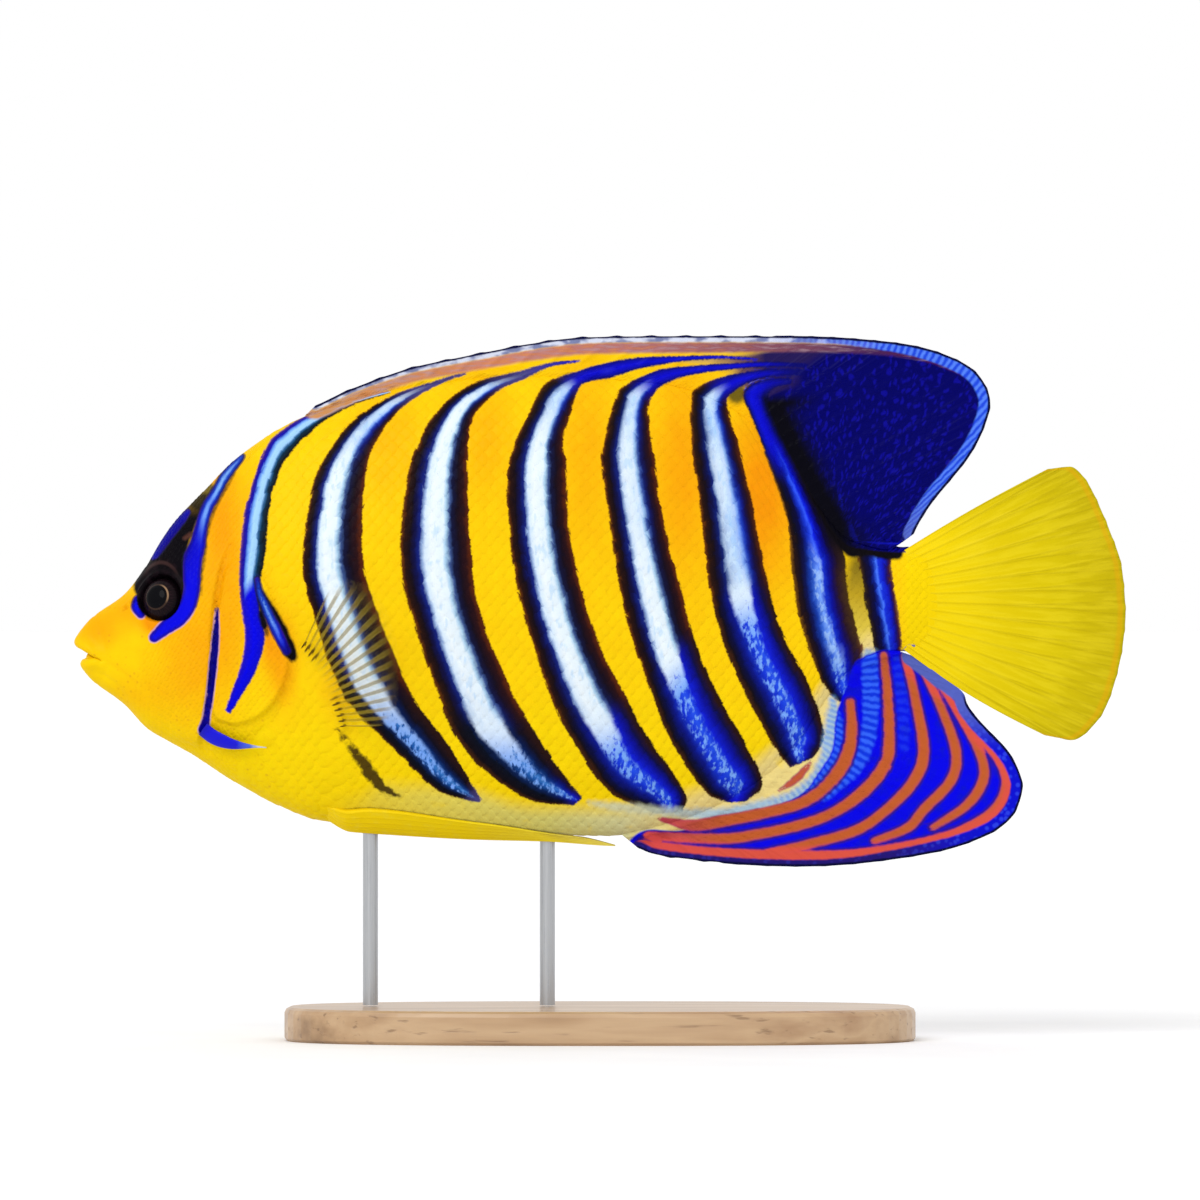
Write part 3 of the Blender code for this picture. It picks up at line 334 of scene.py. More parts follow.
SKY_LINES = {
    "over_anal_fin": [
        (158.6, -20.6, 0.6), (158.9, -25.6, 1.7), (158.4, -30.5, 2.0), (156.4, -36.4, 1.9),
        (151.0, -40.8, 1.2), (143.0, -43.0, 0.9), (134.0, -44.8, 1.1), (124.0, -44.2, 0.9),
        (114.0, -43.2, 0.9), (108.0, -42.4, 0.4),
    ],
    "ladder": [
        (166.3, -11.8, 1.6), (166.6, -20.0, 1.7), (166.2, -28.0, 1.5), (163.6, -35.0, 1.3),
        (157.0, -41.2, 0.9),
    ],
    "ladder_two": [(172.2, -12.4, 1.0), (173.4, -22.0, 1.2), (173.6, -31.0, 1.0)],
}
ANAL_GROUND = [
    (112.0, -57.0), (118.0, -48.6), (127.0, -48.2), (136.0, -45.6), (145.0, -43.6), (152.0, -40.6),
    (155.6, -36.2), (158.6, -31.0), (159.4, -24.0), (161.6, -18.2), (164.4, -12.2), (176.0, -11.8),
    (202.0, -30.0), (204.0, -60.0),
]
SOFT_GROUND = [
    (151.2, 47.0), (153.0, 49.6), (157.0, 52.0), (164.0, 54.0), (174.0, 54.0), (182.0, 54.0), (190.0, 54.0),
    (200.0, 54.0), (200.0, 9.5), (176.0, 10.0), (166.5, 10.6), (160.6, 12.4), (155.3, 20.4), (150.0, 30.2),
    (146.1, 38.2), (145.2, 42.0), (148.0, 43.6), (150.2, 45.0),
]
SOFT_MARKS = {
    "streak_upper": [(160.2, 22.0, 0.3), (160.4, 20.0, 0.4), (160.6, 18.6, 0.2)],
    "streak_lower": [(162.2, 16.0, 0.4), (162.8, 13.6, 0.6), (163.8, 12.0, 0.3)],
    "fin_base": [(164.6, 12.3, 0.05), (168.0, 11.9, 0.15), (173.0, 11.8, 0.1)],
}

# Half of the floor's side, and the lamp's strength, spread in degrees, and direction
FLOOR_HALF = 30000.0
KEY_STRENGTH, KEY_SPREAD = 1.2, 35
KEY_DIRECTION = (0.45, 0.95, -0.75)

# Colours as the eye sees them, from 0 to 255
COLOURS = {
    "yellow": (251, 208, 6),
    "royal_blue": (8, 8, 226),
    "lilac": (186, 150, 205),
    "rust": (192, 92, 44),
}
# How bright a white flank looks under the studio's light
FLANK_LIGHT = 1.22
# Middle of the circles and spokes that the rear fins' dashes and the ladders' rungs follow
FAN_CENTRE = (150.0, -5.0)
LADDER_CENTRE = (138.0, -18.0)

# Fineness of the fields and the skin, and the lie of the scales
HALF_AROUND = 160
CANVAS_STEP = 0.3
CANVAS = {"stations": (-4.0, 226.0), "heights": (-62.0, 60.0)}
# How far from a marking, and from a fin's margin, its field is worked out
MARK_REACH, MARGIN_REACH = 8.0, 14.0
HEAD_STEP, HEAD_REAR, BODY_STEP, SKIN_END = 0.42, 52.0, 0.85, 182.5
SCALE_PITCH, SCALE_ROW = 2.7, 1.55
SCALE_LIFT = 0.12
# Where a scale's own points lie: along it, and across it from edge to edge
SCALE_ALONG = (0.0, 0.35, 0.68, 0.88, 1.0)
SCALE_ACROSS = (-1.0, -0.82, -0.45, 0.0, 0.45, 0.82, 1.0)
# Half of the side of a scale's patch on the UV map
BAKE_PATCH = 0.0015
SCALE_SEED = 7
MOST_SCALE_ROWS = 110
BODY_SCALES = {"ends": (30.0, SKIN_END), "length": 4.3, "width": 3.1}
HEAD_SCALES = {
    "ends": (8.5, 50.0), "length": 2.35, "width": 1.68, "pitch": 1.45, "row": 0.82, "seed": SCALE_SEED + 3
}
FIN_SCALE_PITCH = 1.9
DORSAL_SCALE_SEED, ANAL_SCALE_SEED = 21, 31
# Half of a fin's thickness, and how far its spines and rays rise at the root and any of them at the tip
MEMBRANE_AT_ROOT, MEMBRANE_AT_MARGIN = 0.24, 0.13
SPINE_RISE, RAY_RISE, TIP_RISE = 0.42, 0.24, 0.09
# Points in each mouth line, for each spine or ray of a fin, and along a fin's rays
MOUTH_ROWS = 26
COLUMNS_PER_SPINE, COLUMNS_PER_RAY, COLUMNS_PER_PAIRED_RAY = 10, 14, 12
FIN_ROWS, TAIL_ROWS, PELVIC_ROWS = 44, 60, 90
# Rows along a fin's rays lie a little closer together near the margin
ROW_SPREAD = 0.9
# The depth that stands for places far outside a marking
FAR_OUTSIDE = -9.0


def to_frame(points):
    """From the fish's own frame, in millimetres, to the model's frame, in metres."""
    points = np.asarray(points, float)
    station, aside, height = points[..., 0], points[..., 1], points[..., 2]
    return np.stack([station - TOTAL_LENGTH / 2, aside, height + AXIS_HEIGHT], -1) * MM


def tone(colour):
    """The linear light that a surface sends back to look like a colour given from 0 to 255."""
    shares = (c / 255 for c in COLOURS.get(colour, colour))
    linear = (c / 12.92 if c < 0.04 else ((c + 0.055) / 1.055) ** 2.4 for c in shares)
    return tuple(c / FLANK_LIGHT for c in linear)


def smooth_step(x):
    """0 below 0, 1 above 1, smooth between."""
    x = np.clip(x, 0, 1)
    return x * x * (3 - 2 * x)


def profile(points):
    """A smooth function through (x, y) points, with no overshoot between them."""
    x, y = np.array(points, float).T
    steps = np.diff(x)
    slopes = np.diff(y) / steps
    inner = np.zeros(len(x))
    for i in range(1, len(x) - 1):
        before, after = slopes[i - 1], slopes[i]
        if before * after > 0:
            near, far = 2 * steps[i] + steps[i - 1], steps[i] + 2 * steps[i - 1]
            inner[i] = (near + far) / (near / before + far / after)
    inner[0], inner[-1] = slopes[0], slopes[-1]

    def value(at):
        at = np.clip(at, x[0], x[-1])
        i = np.clip(np.searchsorted(x, at) - 1, 0, len(x) - 2)
        t = (at - x[i]) / steps[i]
        return (
            y[i] * (1 + 2 * t) * (1 - t) ** 2
            + inner[i] * steps[i] * t * (1 - t) ** 2
            + y[i + 1] * t * t * (3 - 2 * t)
            + inner[i + 1] * steps[i] * t * t * (t - 1)
        )

    return value


def dense_curve(points, fine=24):
    """Close points along a smooth curve through the given ones."""
    p = np.array(points, float)
    ends = np.vstack([2 * p[0] - p[1], p, 2 * p[-1] - p[-2]])
    before, a, b, after = ends[:-3], ends[1:-2], ends[2:-1], ends[3:]
    t = np.linspace(0, 1, fine, endpoint=False)[None, :, None]
    before, a, b, after = (q[:, None, :] for q in (before, a, b, after))
    dense = 0.5 * (
        2 * a
        + (b - before) * t
        + (2 * before - 5 * a + 4 * b - after) * t * t
        + (3 * a - before - 3 * b + after) * t**3
    )
    return np.vstack([dense.reshape(-1, p.shape[1]), p[-1:]])


def length_along(line):
    """The length of a line of points up to each of them."""
    return np.concatenate([[0], np.cumsum(np.linalg.norm(np.diff(line, axis=0), axis=1))])


def curve(points):
    """A smooth curve through the points, as a function of the share of its length."""
    dense = dense_curve(points)
    along = length_along(dense)

    def point(share):
        at = np.clip(share, 0, 1) * along[-1]
        return np.stack([np.interp(at, along, dense[:, k]) for k in range(dense.shape[1])], -1)

    return point


back, belly = profile(BACK_LINE), profile(BELLY_LINE)
half_width, widest_height = profile(HALF_WIDTH), profile(WIDEST_HEIGHT)
cheek_edge = profile(CHEEK_EDGE)
cover_outline = np.vstack([dense_curve(COVER_REAR, 6), dense_curve(COVER_FRONT, 6)])


def flank(station, height):
    """How far the trunk stands from the middle plane."""
    middle = widest_height(station)
    above = height >= middle
    reach = np.where(above, back(station) - middle, middle - belly(station))
    power = np.where(above, ROUNDNESS_ABOVE, ROUNDNESS_BELOW)
    share = np.clip(np.abs(height - middle) / reach, 0, 1)
    return half_width(station) * (1 - share**power) ** (1 / power)


def underside(station, aside):
    """The height of the belly's skin at a distance aside of the middle plane."""
    middle = widest_height(station)
    share = np.clip(np.abs(aside) / half_width(station), 0, 1)
    return middle - (middle - belly(station)) * (1 - share**ROUNDNESS_BELOW) ** (1 / ROUNDNESS_BELOW)


def cheek_rise(height):
    """How far the raised cheek stands out, by height."""
    span = CHEEK_RISE_HEIGHTS
    from_below = smooth_step((height - span["lowest"]) / (span["full_above"] - span["lowest"]))
    from_above = smooth_step((span["highest"] - height) / (span["highest"] - span["full_below"]))
    return CHEEK_RISE * from_below * from_above


def cheek_start(station):
    """The share of that rise, which grows from the snout to the cheek's edge."""
    return smooth_step((station - CHEEK_RISE_START) / (CHEEK_EDGE_MIDDLE - CHEEK_RISE_START))


def skin_height(station, height):
    """How far the skin stands from the middle plane, with the raised cheek."""
    cheek = cheek_rise(height) * cheek_start(station)
    return flank(station, height) + np.where(station > cheek_edge(height), 0.0, cheek)


def skin_frame(station, height, side):
    """A point on the skin with its backward, upward and outward unit directions."""
    step = 0.5  # millimetres to the neighbouring points
    here = np.array([station, side * skin_height(station, height), height])
    behind = np.array([station + step, side * skin_height(station + step, height), height])
    over = np.array([station, side * skin_height(station, height + step), height + step])
    to_back = (behind - here) / np.linalg.norm(behind - here)
    to_top = (over - here) / np.linalg.norm(over - here)
    outward = np.cross(to_back, to_top) * -side
    return here, to_back, to_top, outward / np.linalg.norm(outward)


def unit(vectors):
    """Each vector at a length of 1."""
    return vectors / np.maximum(np.linalg.norm(vectors, axis=-1, keepdims=True), 1e-9)


# Markings


def line_distance(s, h, line):
    """The distance from each place to a line, less the line's half-width where it has one."""
    nearest = np.full(s.shape, 1e3)
    for a, b in zip(line[:-1], line[1:]):
        run, rise = b[0] - a[0], b[1] - a[1]
        square = run * run + rise * rise
        if square < 1e-9:
            continue
        t = np.clip(((s - a[0]) * run + (h - a[1]) * rise) / square, 0, 1)
        away = np.hypot(s - a[0] - t * run, h - a[1] - t * rise)
        if len(a) > 2:
            away = away - (a[2] + t * (b[2] - a[2]))
        nearest = np.minimum(nearest, away)
    return nearest


def inside(s, h, outline):
    """Whether each place lies inside a closed outline."""
    odd = np.zeros(s.shape, bool)
    for a, b in zip(outline, np.roll(outline, -1, axis=0)):
        crosses = (a[1] > h) != (b[1] > h)
        if b[1] != a[1]:
            odd ^= crosses & (s < (b[0] - a[0]) * (h - a[1]) / (b[1] - a[1]) + a[0])
    return odd


def outline_depth(s, h, outline):
    """How deep each place lies inside a closed outline, negative outside it."""
    closed = np.vstack([outline, outline[:1]])
    away = line_distance(s, h, closed[:, :2])
    return np.where(inside(s, h, outline), away, -away)


def patches(s, h, spots):
    """The sum of soft round patches."""
    total = np.zeros(s.shape)
    for at, height, along, up, amount in spots:
        total += amount * np.exp(-(((s - at) / along) ** 2) - ((h - height) / up) ** 2)
    return total


class Markings:
    """Fields over the fish's side, worked out once on a fine grid and read off for any point.

    across: the share of the way across a bar from its front edge. edge: the depth inside a bar,
    in millimetres. core: how far the bar is wide enough for a pale middle. The other lengths are
    depths inside a marking.
    """

    def __init__(self):
        self.s_from, self.h_from = CANVAS["stations"][0], CANVAS["heights"][0]
        stations = np.arange(*CANVAS["stations"], CANVAS_STEP)
        heights = np.arange(*CANVAS["heights"], CANVAS_STEP)
        self.s, self.h = np.meshgrid(stations, heights, indexing="ij")
        self.fields = {}
        self.draw_bars()
        self.draw_depths()
        self.draw_tones()
        self.draw_fins()

    def window(self, points, reach):
        """The part of the grid within reach of some points."""
        low, high = points[:, :2].min(0) - reach, points[:, :2].max(0) + reach
        i = np.clip(((low - (self.s_from, self.h_from)) / CANVAS_STEP).astype(int), 0, self.s.shape)
        j = np.clip(((high - (self.s_from, self.h_from)) / CANVAS_STEP).astype(int) + 1, 0, self.s.shape)
        return slice(i[0], j[0]), slice(i[1], j[1])

    def draw_bars(self):
        """Edge, across, core and kind of the flank's bars, the deeper bar winning."""
        edge = np.full(self.s.shape, FAR_OUTSIDE)
        across, core, nape, rear_blue = (np.zeros(self.s.shape) for _ in range(4))
        for name, (front_points, rear_points) in BARS.items():
            front, rear = dense_curve(front_points, 6), dense_curve(rear_points, 6)
            outline = np.vstack([front, rear[::-1]])
            box = self.window(outline, MARK_REACH)
            s, h = self.s[box], self.h[box]
            within = inside(s, h, outline)
            to_front, to_rear = line_distance(s, h, front), line_distance(s, h, rear)
            depth = np.where(within, 1, -1) * line_distance(s, h, np.vstack([outline, outline[:1]]))
            ahead = ~within & (to_front < to_rear)
            behind = ~within & ~ahead
            from_front = np.where(ahead, -to_front, to_front)
            from_rear = np.where(behind, -to_rear, to_rear)
            width = np.maximum(from_front + from_rear, 0.2)
            share = np.clip(from_front / width, -0.4, 1.4)
            ahead_by = CORE_AHEAD.get(name, 0.0) * np.sin(np.pi * np.clip(share, 0, 1)) * (1.4 - share)
            nearer = depth > edge[box]
            edge[box] = np.where(nearer, depth, edge[box])
            across[box] = np.where(nearer, share + ahead_by, across[box])
            core_from = CORE_FROM.get(name, USUAL_CORE_FROM)
            strength = 1.0 if name in NAPE_BARS else smooth_step((width - core_from) / 3.0)
            core[box] = np.where(nearer, strength, core[box])
            nape[box] = np.where(nearer, name in NAPE_BARS, nape[box])
            rear_blue[box] = np.where(nearer, name in REAR_BARS, rear_blue[box])
        self.fields.update(edge=edge, across=across, core=core, nape=nape, rear_blue=rear_blue)

    def depth_of(self, lines, outlines=()):
        """The depth inside whichever line or outline is nearest."""
        field = np.full(self.s.shape, FAR_OUTSIDE)
        for line in lines:
            dense = dense_curve(line, 5)
            box = self.window(dense, MARK_REACH)
            field[box] = np.maximum(field[box], -line_distance(self.s[box], self.h[box], dense))
        for points in outlines:
            outline = dense_curve([*points, points[0]], 5)[:-1]
            box = self.window(outline, MARK_REACH)
            field[box] = np.maximum(field[box], outline_depth(self.s[box], self.h[box], outline))
        return field

    def draw_depths(self):
        """Depths inside lines, the dark mask, the eye's surround and the anal fin's lines."""
        self.fields["blue"] = self.depth_of(BLUE_LINES.values())
        self.fields["mask"] = self.depth_of(DARK_LINES.values(), [MASK_OUTLINE, STALK_DARK])
        from_eye = np.hypot(self.s - EYE_CENTRE[0], self.h - EYE_CENTRE[1])
        along_orbit = (self.s - ORBIT["station"]) / ORBIT["half_long"]
        up_orbit = (self.h - ORBIT["height"]) / ORBIT["half_high"]
        round_eye = np.hypot(along_orbit, up_orbit)
        self.fields["orbit"] = np.maximum(EYE_RADIUS + 0.15 - from_eye, (1 - round_eye) * ORBIT["half_long"])
        self.fields["dark_spot"] = self.depth_of([BROW_SPOT])
        self.fields["sky_line"] = self.depth_of(SKY_LINES.values())
        self.fields["orange"] = self.depth_of(ORANGE_LINES.values())

    def draw_tones(self):
        """Shares by which soft patches change a colour."""
        s, h = self.s, self.h
        self.fields["warm"] = np.clip(
            0.2 * smooth_step((h + 34.0) / 24.0) + patches(s, h, WARM_PATCHES), 0, 1
        )
        self.fields["sky"] = np.clip(patches(s, h, SKY_PATCHES), 0, 1)
        self.fields["pale_line"] = np.clip(patches(s, h, PALE_LINE_PATCHES), 0, 1)
        self.fields["dull"] = np.clip(patches(s, h, DULL_PATCHES), 0, 1)
        self.fields["dusk"] = np.clip(patches(s, h, DUSK_PATCHES), 0, 1)
        self.fields["dark_line"] = np.clip(patches(s, h, DARK_LINE_PATCHES), 0, 1)
        self.fields["deep"] = smooth_step((profile(DEEP_BELOW)(s) - h) / DEEP_LENGTH)
        higher = 3.5 * smooth_step((s - 58.0) / 8.0) * smooth_step((96.0 - s) / 16.0)
        low_down = smooth_step((belly(s) + 8.0 + higher - h) / 5.0)
        self.fields["belly"] = low_down * smooth_step((s - 50.0) / 14.0) * smooth_step((172.0 - s) / 3.0)

    def draw_fins(self):
        """The distance to the fins' margins and the depths inside their grounds."""
        margin = np.full(self.s.shape, 30.0)
        for points in (DORSAL_MARGIN, ANAL_MARGIN):
            dense = dense_curve(points, 6)
            box = self.window(dense, MARGIN_REACH)
            margin[box] = np.minimum(margin[box], line_distance(self.s[box], self.h[box], dense))
        self.fields["margin"] = margin
        self.fields["anal"] = self.depth_of((), [ANAL_GROUND])
        self.fields["soft"] = self.depth_of((), [SOFT_GROUND])
        self.fields["soft_mark"] = self.depth_of(SOFT_MARKS.values())

    def read(self, name, station, height):
        """A field's value at each place, blended between grid points."""
        i = np.clip((station - self.s_from) / CANVAS_STEP, 0, self.s.shape[0] - 1.001)
        j = np.clip((height - self.h_from) / CANVAS_STEP, 0, self.s.shape[1] - 1.001)
        a, b = i.astype(int), j.astype(int)
        u, v = i - a, j - b
        grid = self.fields[name]
        return (
            grid[a, b] * (1 - u) * (1 - v)
            + grid[a + 1, b] * u * (1 - v)
            + grid[a, b + 1] * (1 - u) * v
            + grid[a + 1, b + 1] * u * v
        )


markings = Markings()


# Meshes


def add_mesh(name, points, faces, look, fields=None):
    """A smooth mesh object from points in the fish's frame, with a float attribute for each field."""
    mesh = bpy.data.meshes.new(name)
    places = to_frame(points).reshape(-1, 3)
    faces = np.asarray(faces, np.int32)
    mesh.vertices.add(len(places))
    mesh.vertices.foreach_set("co", places.ravel())
    corners = faces.shape[1]
    mesh.loops.add(faces.size)
    mesh.loops.foreach_set("vertex_index", faces.ravel())
    mesh.polygons.add(len(faces))
    mesh.polygons.foreach_set("loop_start", np.arange(0, faces.size, corners, dtype=np.int32))
    mesh.update(calc_edges=True)
    mesh.validate()
    for field, values in (fields or {}).items():
        attribute = mesh.attributes.new(field, "FLOAT", "POINT")
        attribute.data.foreach_set("value", np.asarray(values, np.float32).ravel())
    obj = bpy.data.objects.new(name, mesh)
    bpy.context.scene.collection.objects.link(obj)
    mesh.materials.append(look)
    mesh.shade_smooth()
    return obj


def side_fields(points, shift=0.0):
    """The markings at each point, read a little further back by shift, and no scale's rim."""
    station, height = points[..., 0] + shift, points[..., 2]
    fields = {name: markings.read(name, station, height) for name in markings.fields}
    fields["rim"] = np.zeros(station.shape)
    fields["shade"] = np.full(station.shape, 0.5)
    return fields


def grid_faces(rows, columns, wrap=False, flip=False):
    """Four-sided faces over a grid of points, row by row."""
    i, k = np.meshgrid(np.arange(rows - 1), np.arange(columns if wrap else columns - 1), indexing="ij")
    following = (k + 1) % columns
    here, next_row = i * columns, (i + 1) * columns
    quads = np.stack([here + k, here + following, next_row + following, next_row + k], -1).reshape(-1, 4)
    return quads[:, ::-1] if flip else quads


def cap_faces(first, around, flip=False):
    """Faces across a ring of points, the first of which has the given index."""
    k = np.arange(1, around // 2 - 1)
    quads = first + np.stack([k, k + 1, around - k - 1, around - k], -1)
    return quads[:, ::-1] if flip else quads


def set_uv(obj, name, corners):
    """A UV map with a place for each corner of each face."""
    layer = obj.data.uv_layers.new(name=name)
    layer.data.foreach_set("uv", np.asarray(corners, np.float32).ravel())


# Skin


def half_rings(stations):
    """Places round the left half of the trunk, from back to belly, evenly spaced along it.

    Near the snout, the middle place of each ring is level with the mouth's corner.
    """
    turn = np.linspace(math.pi / 2, -math.pi / 2, 721)
    lean, rise = np.abs(np.cos(turn)), np.sin(turn)
    power = np.where(rise >= 0, 2 / ROUNDNESS_ABOVE, 2 / ROUNDNESS_BELOW)
    shares = np.linspace(0, 1, HALF_AROUND + 1)
    asides, heights = [], []
    for station in stations:
        middle = widest_height(station)
        reach = np.where(rise >= 0, back(station) - middle, middle - belly(station))
        height = middle + reach * np.sign(rise) * np.abs(rise) ** power
        aside = half_width(station) * lean**power
        along = np.concatenate([[0], np.cumsum(np.hypot(np.diff(height), np.diff(aside)))])
        along /= along[-1]
        corner = np.interp(-LIP_CORNER[2], -height, along)
        by_corner = np.where(shares < 0.5, 2 * shares * corner, corner + (2 * shares - 1) * (1 - corner))
        near_mouth = 1 - smooth_step((station - 6.0) / 24.0)
        at = near_mouth * by_corner + (1 - near_mouth) * shares
        asides.append(np.interp(at, along, aside))
        heights.append(np.interp(at, along, height))
    return np.array(asides), np.array(heights)


def lip_lines():
    """Lines from inside the mouth over the lips, one for each place round the half ring."""
    shares = np.linspace(0, 1, HALF_AROUND + 1)
    upper = shares <= 0.5
    turn = np.where(upper, shares, 1 - shares) * math.pi
    ahead, beside = np.cos(turn), np.sin(turn)
    key = {k: np.where(upper, UPPER_LIP[k], LOWER_LIP[k]) for k in UPPER_LIP}
    centre = np.stack([
        LIP_CORNER[0] - (LIP_CORNER[0] - key["front"]) * ahead,
        LIP_CORNER[1] * beside,
        LIP_CORNER[2] + (key["height"] - LIP_CORNER[2]) * ahead**0.7,
    ], -1)
    radius = key["corner_radius"] + (key["radius"] - key["corner_radius"]) * ahead**0.6
    outward = unit(np.stack([-ahead, beside, np.zeros_like(turn)], -1))
    upward = np.where(upper, 1.0, -1.0)[:, None] * np.array([0.0, 0.0, 1.0])
    fullness = np.clip(ahead / 0.35, 0, 1) ** 0.5
    front, corner = np.array(MOUTH_SLIT["front"]), np.array(MOUTH_SLIT["corner"])
    slit = front + (corner - front) * np.stack([1 - ahead, beside, (1 - ahead)], -1)
    slit = slit + upward * 0.05 * fullness[:, None]
    keys = [slit + np.array([1.6, 0.0, -0.2]) * np.stack([np.ones_like(turn)] * 3, -1), slit]
    for tilt in LIP_TILTS:
        a = math.radians(tilt)
        keys.append(
            centre
            + (radius * math.cos(a))[:, None] * outward
            + (radius * math.sin(a) * fullness)[:, None] * upward
        )
    return np.array(keys)


def skin_rows():
    """The skin's left half as rows of places from inside the mouth to the root of the tail fin."""
    table_at = np.arange(1.2, SKIN_END + 0.3, 0.3)
    table_aside, table_height = half_rings(table_at)
    shares = np.linspace(0, 1, HALF_AROUND + 1)
    corner_nearness = np.exp(-(((shares - 0.5) / 0.16) ** 2))
    first = 2.6 + 1.0 * smooth_step((shares - 0.5) * 2) + 4.6 * corner_nearness
    head_count = int((HEAD_REAR - first.min()) / HEAD_STEP)
    plain = np.concatenate([
        np.linspace(3.0, HEAD_REAR, head_count, endpoint=False),
        np.linspace(HEAD_REAR, SKIN_END, int((SKIN_END - HEAD_REAR) / BODY_STEP)),
    ])
    lag = (first - 3.0)[None, :] * (1 - smooth_step((plain - 3.0) / 13.0))[:, None]
    stations = plain[:, None] + lag
    rows = np.empty((len(plain), HALF_AROUND + 1, 3))
    for k in range(HALF_AROUND + 1):
        rows[:, k, 0] = stations[:, k]
        rows[:, k, 1] = np.interp(stations[:, k], table_at, table_aside[:, k])
        rows[:, k, 2] = np.interp(stations[:, k], table_at, table_height[:, k])
    lips = np.concatenate([lip_lines(), rows[[0, 2]]])
    mouth = []
    for k in range(HALF_AROUND + 1):
        line = dense_curve(lips[:, k], 10)[:-20]
        along = length_along(line)
        even = np.linspace(0, along[-1], MOUTH_ROWS)
        mouth.append(np.stack([np.interp(even, along, line[:, c]) for c in range(3)], -1))
    mouth = np.array(mouth).transpose(1, 0, 2)
    whole = np.concatenate([mouth[:-1], rows])
    join = len(mouth) - 1
    for _ in range(6):
        part = whole[join - 6 : join + 8]
        part[1:-1] = part[1:-1] * 0.5 + (part[:-2] + part[2:]) * 0.25
        whole[join - 6 : join + 8] = part
    whole[:, 0, 1] = whole[:, -1, 1] = 0.0
    return whole, len(mouth)


def mirrored(rows):
    """One row more on each side of the half rings, across the middle plane."""
    flip = np.array([1.0, -1.0, 1.0])
    return np.concatenate([rows[:, 1:2] * flip, rows, rows[:, -2:-1] * flip], axis=1)


def half_normals(rows):
    """The skin's outward directions over its left half."""
    wide = mirrored(rows)
    along, around = np.gradient(wide, axis=0), np.gradient(wide, axis=1)
    return unit(np.cross(along, around))[:, 1:-1]


FOLDS = {
    "cheek_edge": (
        [(27.0, -29.5), (28.3, -22.0), (29.3, -13.0), (30.0, -3.0), (31.4, 6.0), (33.2, 11.5)], 0.34, 0.5
    ),
    "throat": ([(22.4, -29.6), (29.5, -32.0), (36.0, -33.0), (42.5, -30.5)], 0.28, 0.7),
    "under_cover": ([(45.2, -19.0), (43.0, -24.4), (38.5, -28.0), (32.0, -31.6)], 0.26, 0.7),
    "brow": ([(15.4, 7.4), (18.5, 8.3), (21.8, 6.8), (23.6, 3.4)], 0.16, 0.6),
    "under_eye": ([(12.4, -3.6), (15.6, -6.6), (19.6, -6.9), (23.2, -4.4)], 0.12, 0.6),
    "upper_lip": ([(4.4, -3.4), (5.6, -6.0), (6.6, -9.0), (6.9, -11.6)], 0.16, 0.5),
    "lower_lip": ([(5.0, -17.4), (6.2, -16.0), (7.0, -14.4), (7.1, -13.0)], 0.14, 0.45),
    "cheek_fold": ([(7.8, -13.6), (10.4, -15.2), (13.0, -17.6)], 0.2, 0.6),
    "jaw_fold": ([(6.0, -15.6), (8.6, -17.4), (10.6, -20.0)], 0.18, 0.55),
}


def raise_features(rows, normals, mouth_rows):
    """Moves the skin in and out along its normals: cheek, gill cover, folds, eye sockets, nostrils."""
    s, h = rows[..., 0], rows[..., 2]
    out = np.zeros(s.shape)
    ahead_of_edge = cheek_edge(h) - s
    out += cheek_rise(h) * cheek_start(s) * smooth_step((ahead_of_edge + 0.15) / 0.5)
    near = (s > 20) & (s < 56)
    depth = np.full(s.shape, FAR_OUTSIDE)
    depth[near] = outline_depth(s[near], h[near], cover_outline)
    out += COVER_RISE * smooth_step((depth + 0.1) / 0.8) * smooth_step((ahead_of_edge + 24.0) / 4.0 + 1.0)
    on_rim = np.exp(-(((depth - COVER_RIM["inside"]) / COVER_RIM["width"]) ** 2))
    out += COVER_RIM["rise"] * on_rim * smooth_step((s - COVER_RIM["from_station"]) / 4.0)
    on_head = s < 56
    for line, sunk, half in FOLDS.values():
        away = line_distance(s[on_head], h[on_head], dense_curve(line, 6))
        out[on_head] -= sunk * np.exp(-((away / half) ** 2))
    out[:mouth_rows] = 0
    for station, height, radius in NOSTRILS:
        away = np.hypot(s - station, h - height)
        pit = -1.3 * radius * smooth_step((radius * 1.15 - away) / (radius * 0.7))
        rim = 0.22 * np.exp(-(((away - radius * 1.35) / (radius * 0.4)) ** 2))
        out += pit + rim
    here, _, _, axis = skin_frame(*EYE_CENTRE, 1)
    from_axis = rows - here
    along_axis = from_axis @ axis
    away = np.linalg.norm(from_axis - along_axis[..., None] * axis, axis=-1)
    away[(s > SOCKET["reach"][1]) | (s < SOCKET["reach"][0])] = 99.0
    out += SOCKET_RIM["rise"] * np.exp(-(((away - SOCKET_RIM["radius"]) / SOCKET_RIM["width"]) ** 2))
    out -= SOCKET["depth"] * smooth_step((SOCKET["radius"] - away) / SOCKET["slope"])
    on_lid = np.exp(-(((away - UPPER_LID["radius"]) / UPPER_LID["width"]) ** 2))
    out += UPPER_LID["rise"] * on_lid * smooth_step((h - UPPER_LID["from_height"]) / 3.0)
    moved = rows + normals * out[..., None]
    moved[:, 0, 1] = moved[:, -1, 1] = 0.0
    return moved


def full_rings(half):
    """Whole rings from half ones: down the left side and up the right."""
    left = half * np.array([1.0, -1.0, 1.0])
    return np.concatenate([left, half[:, -2:0:-1]], axis=1)


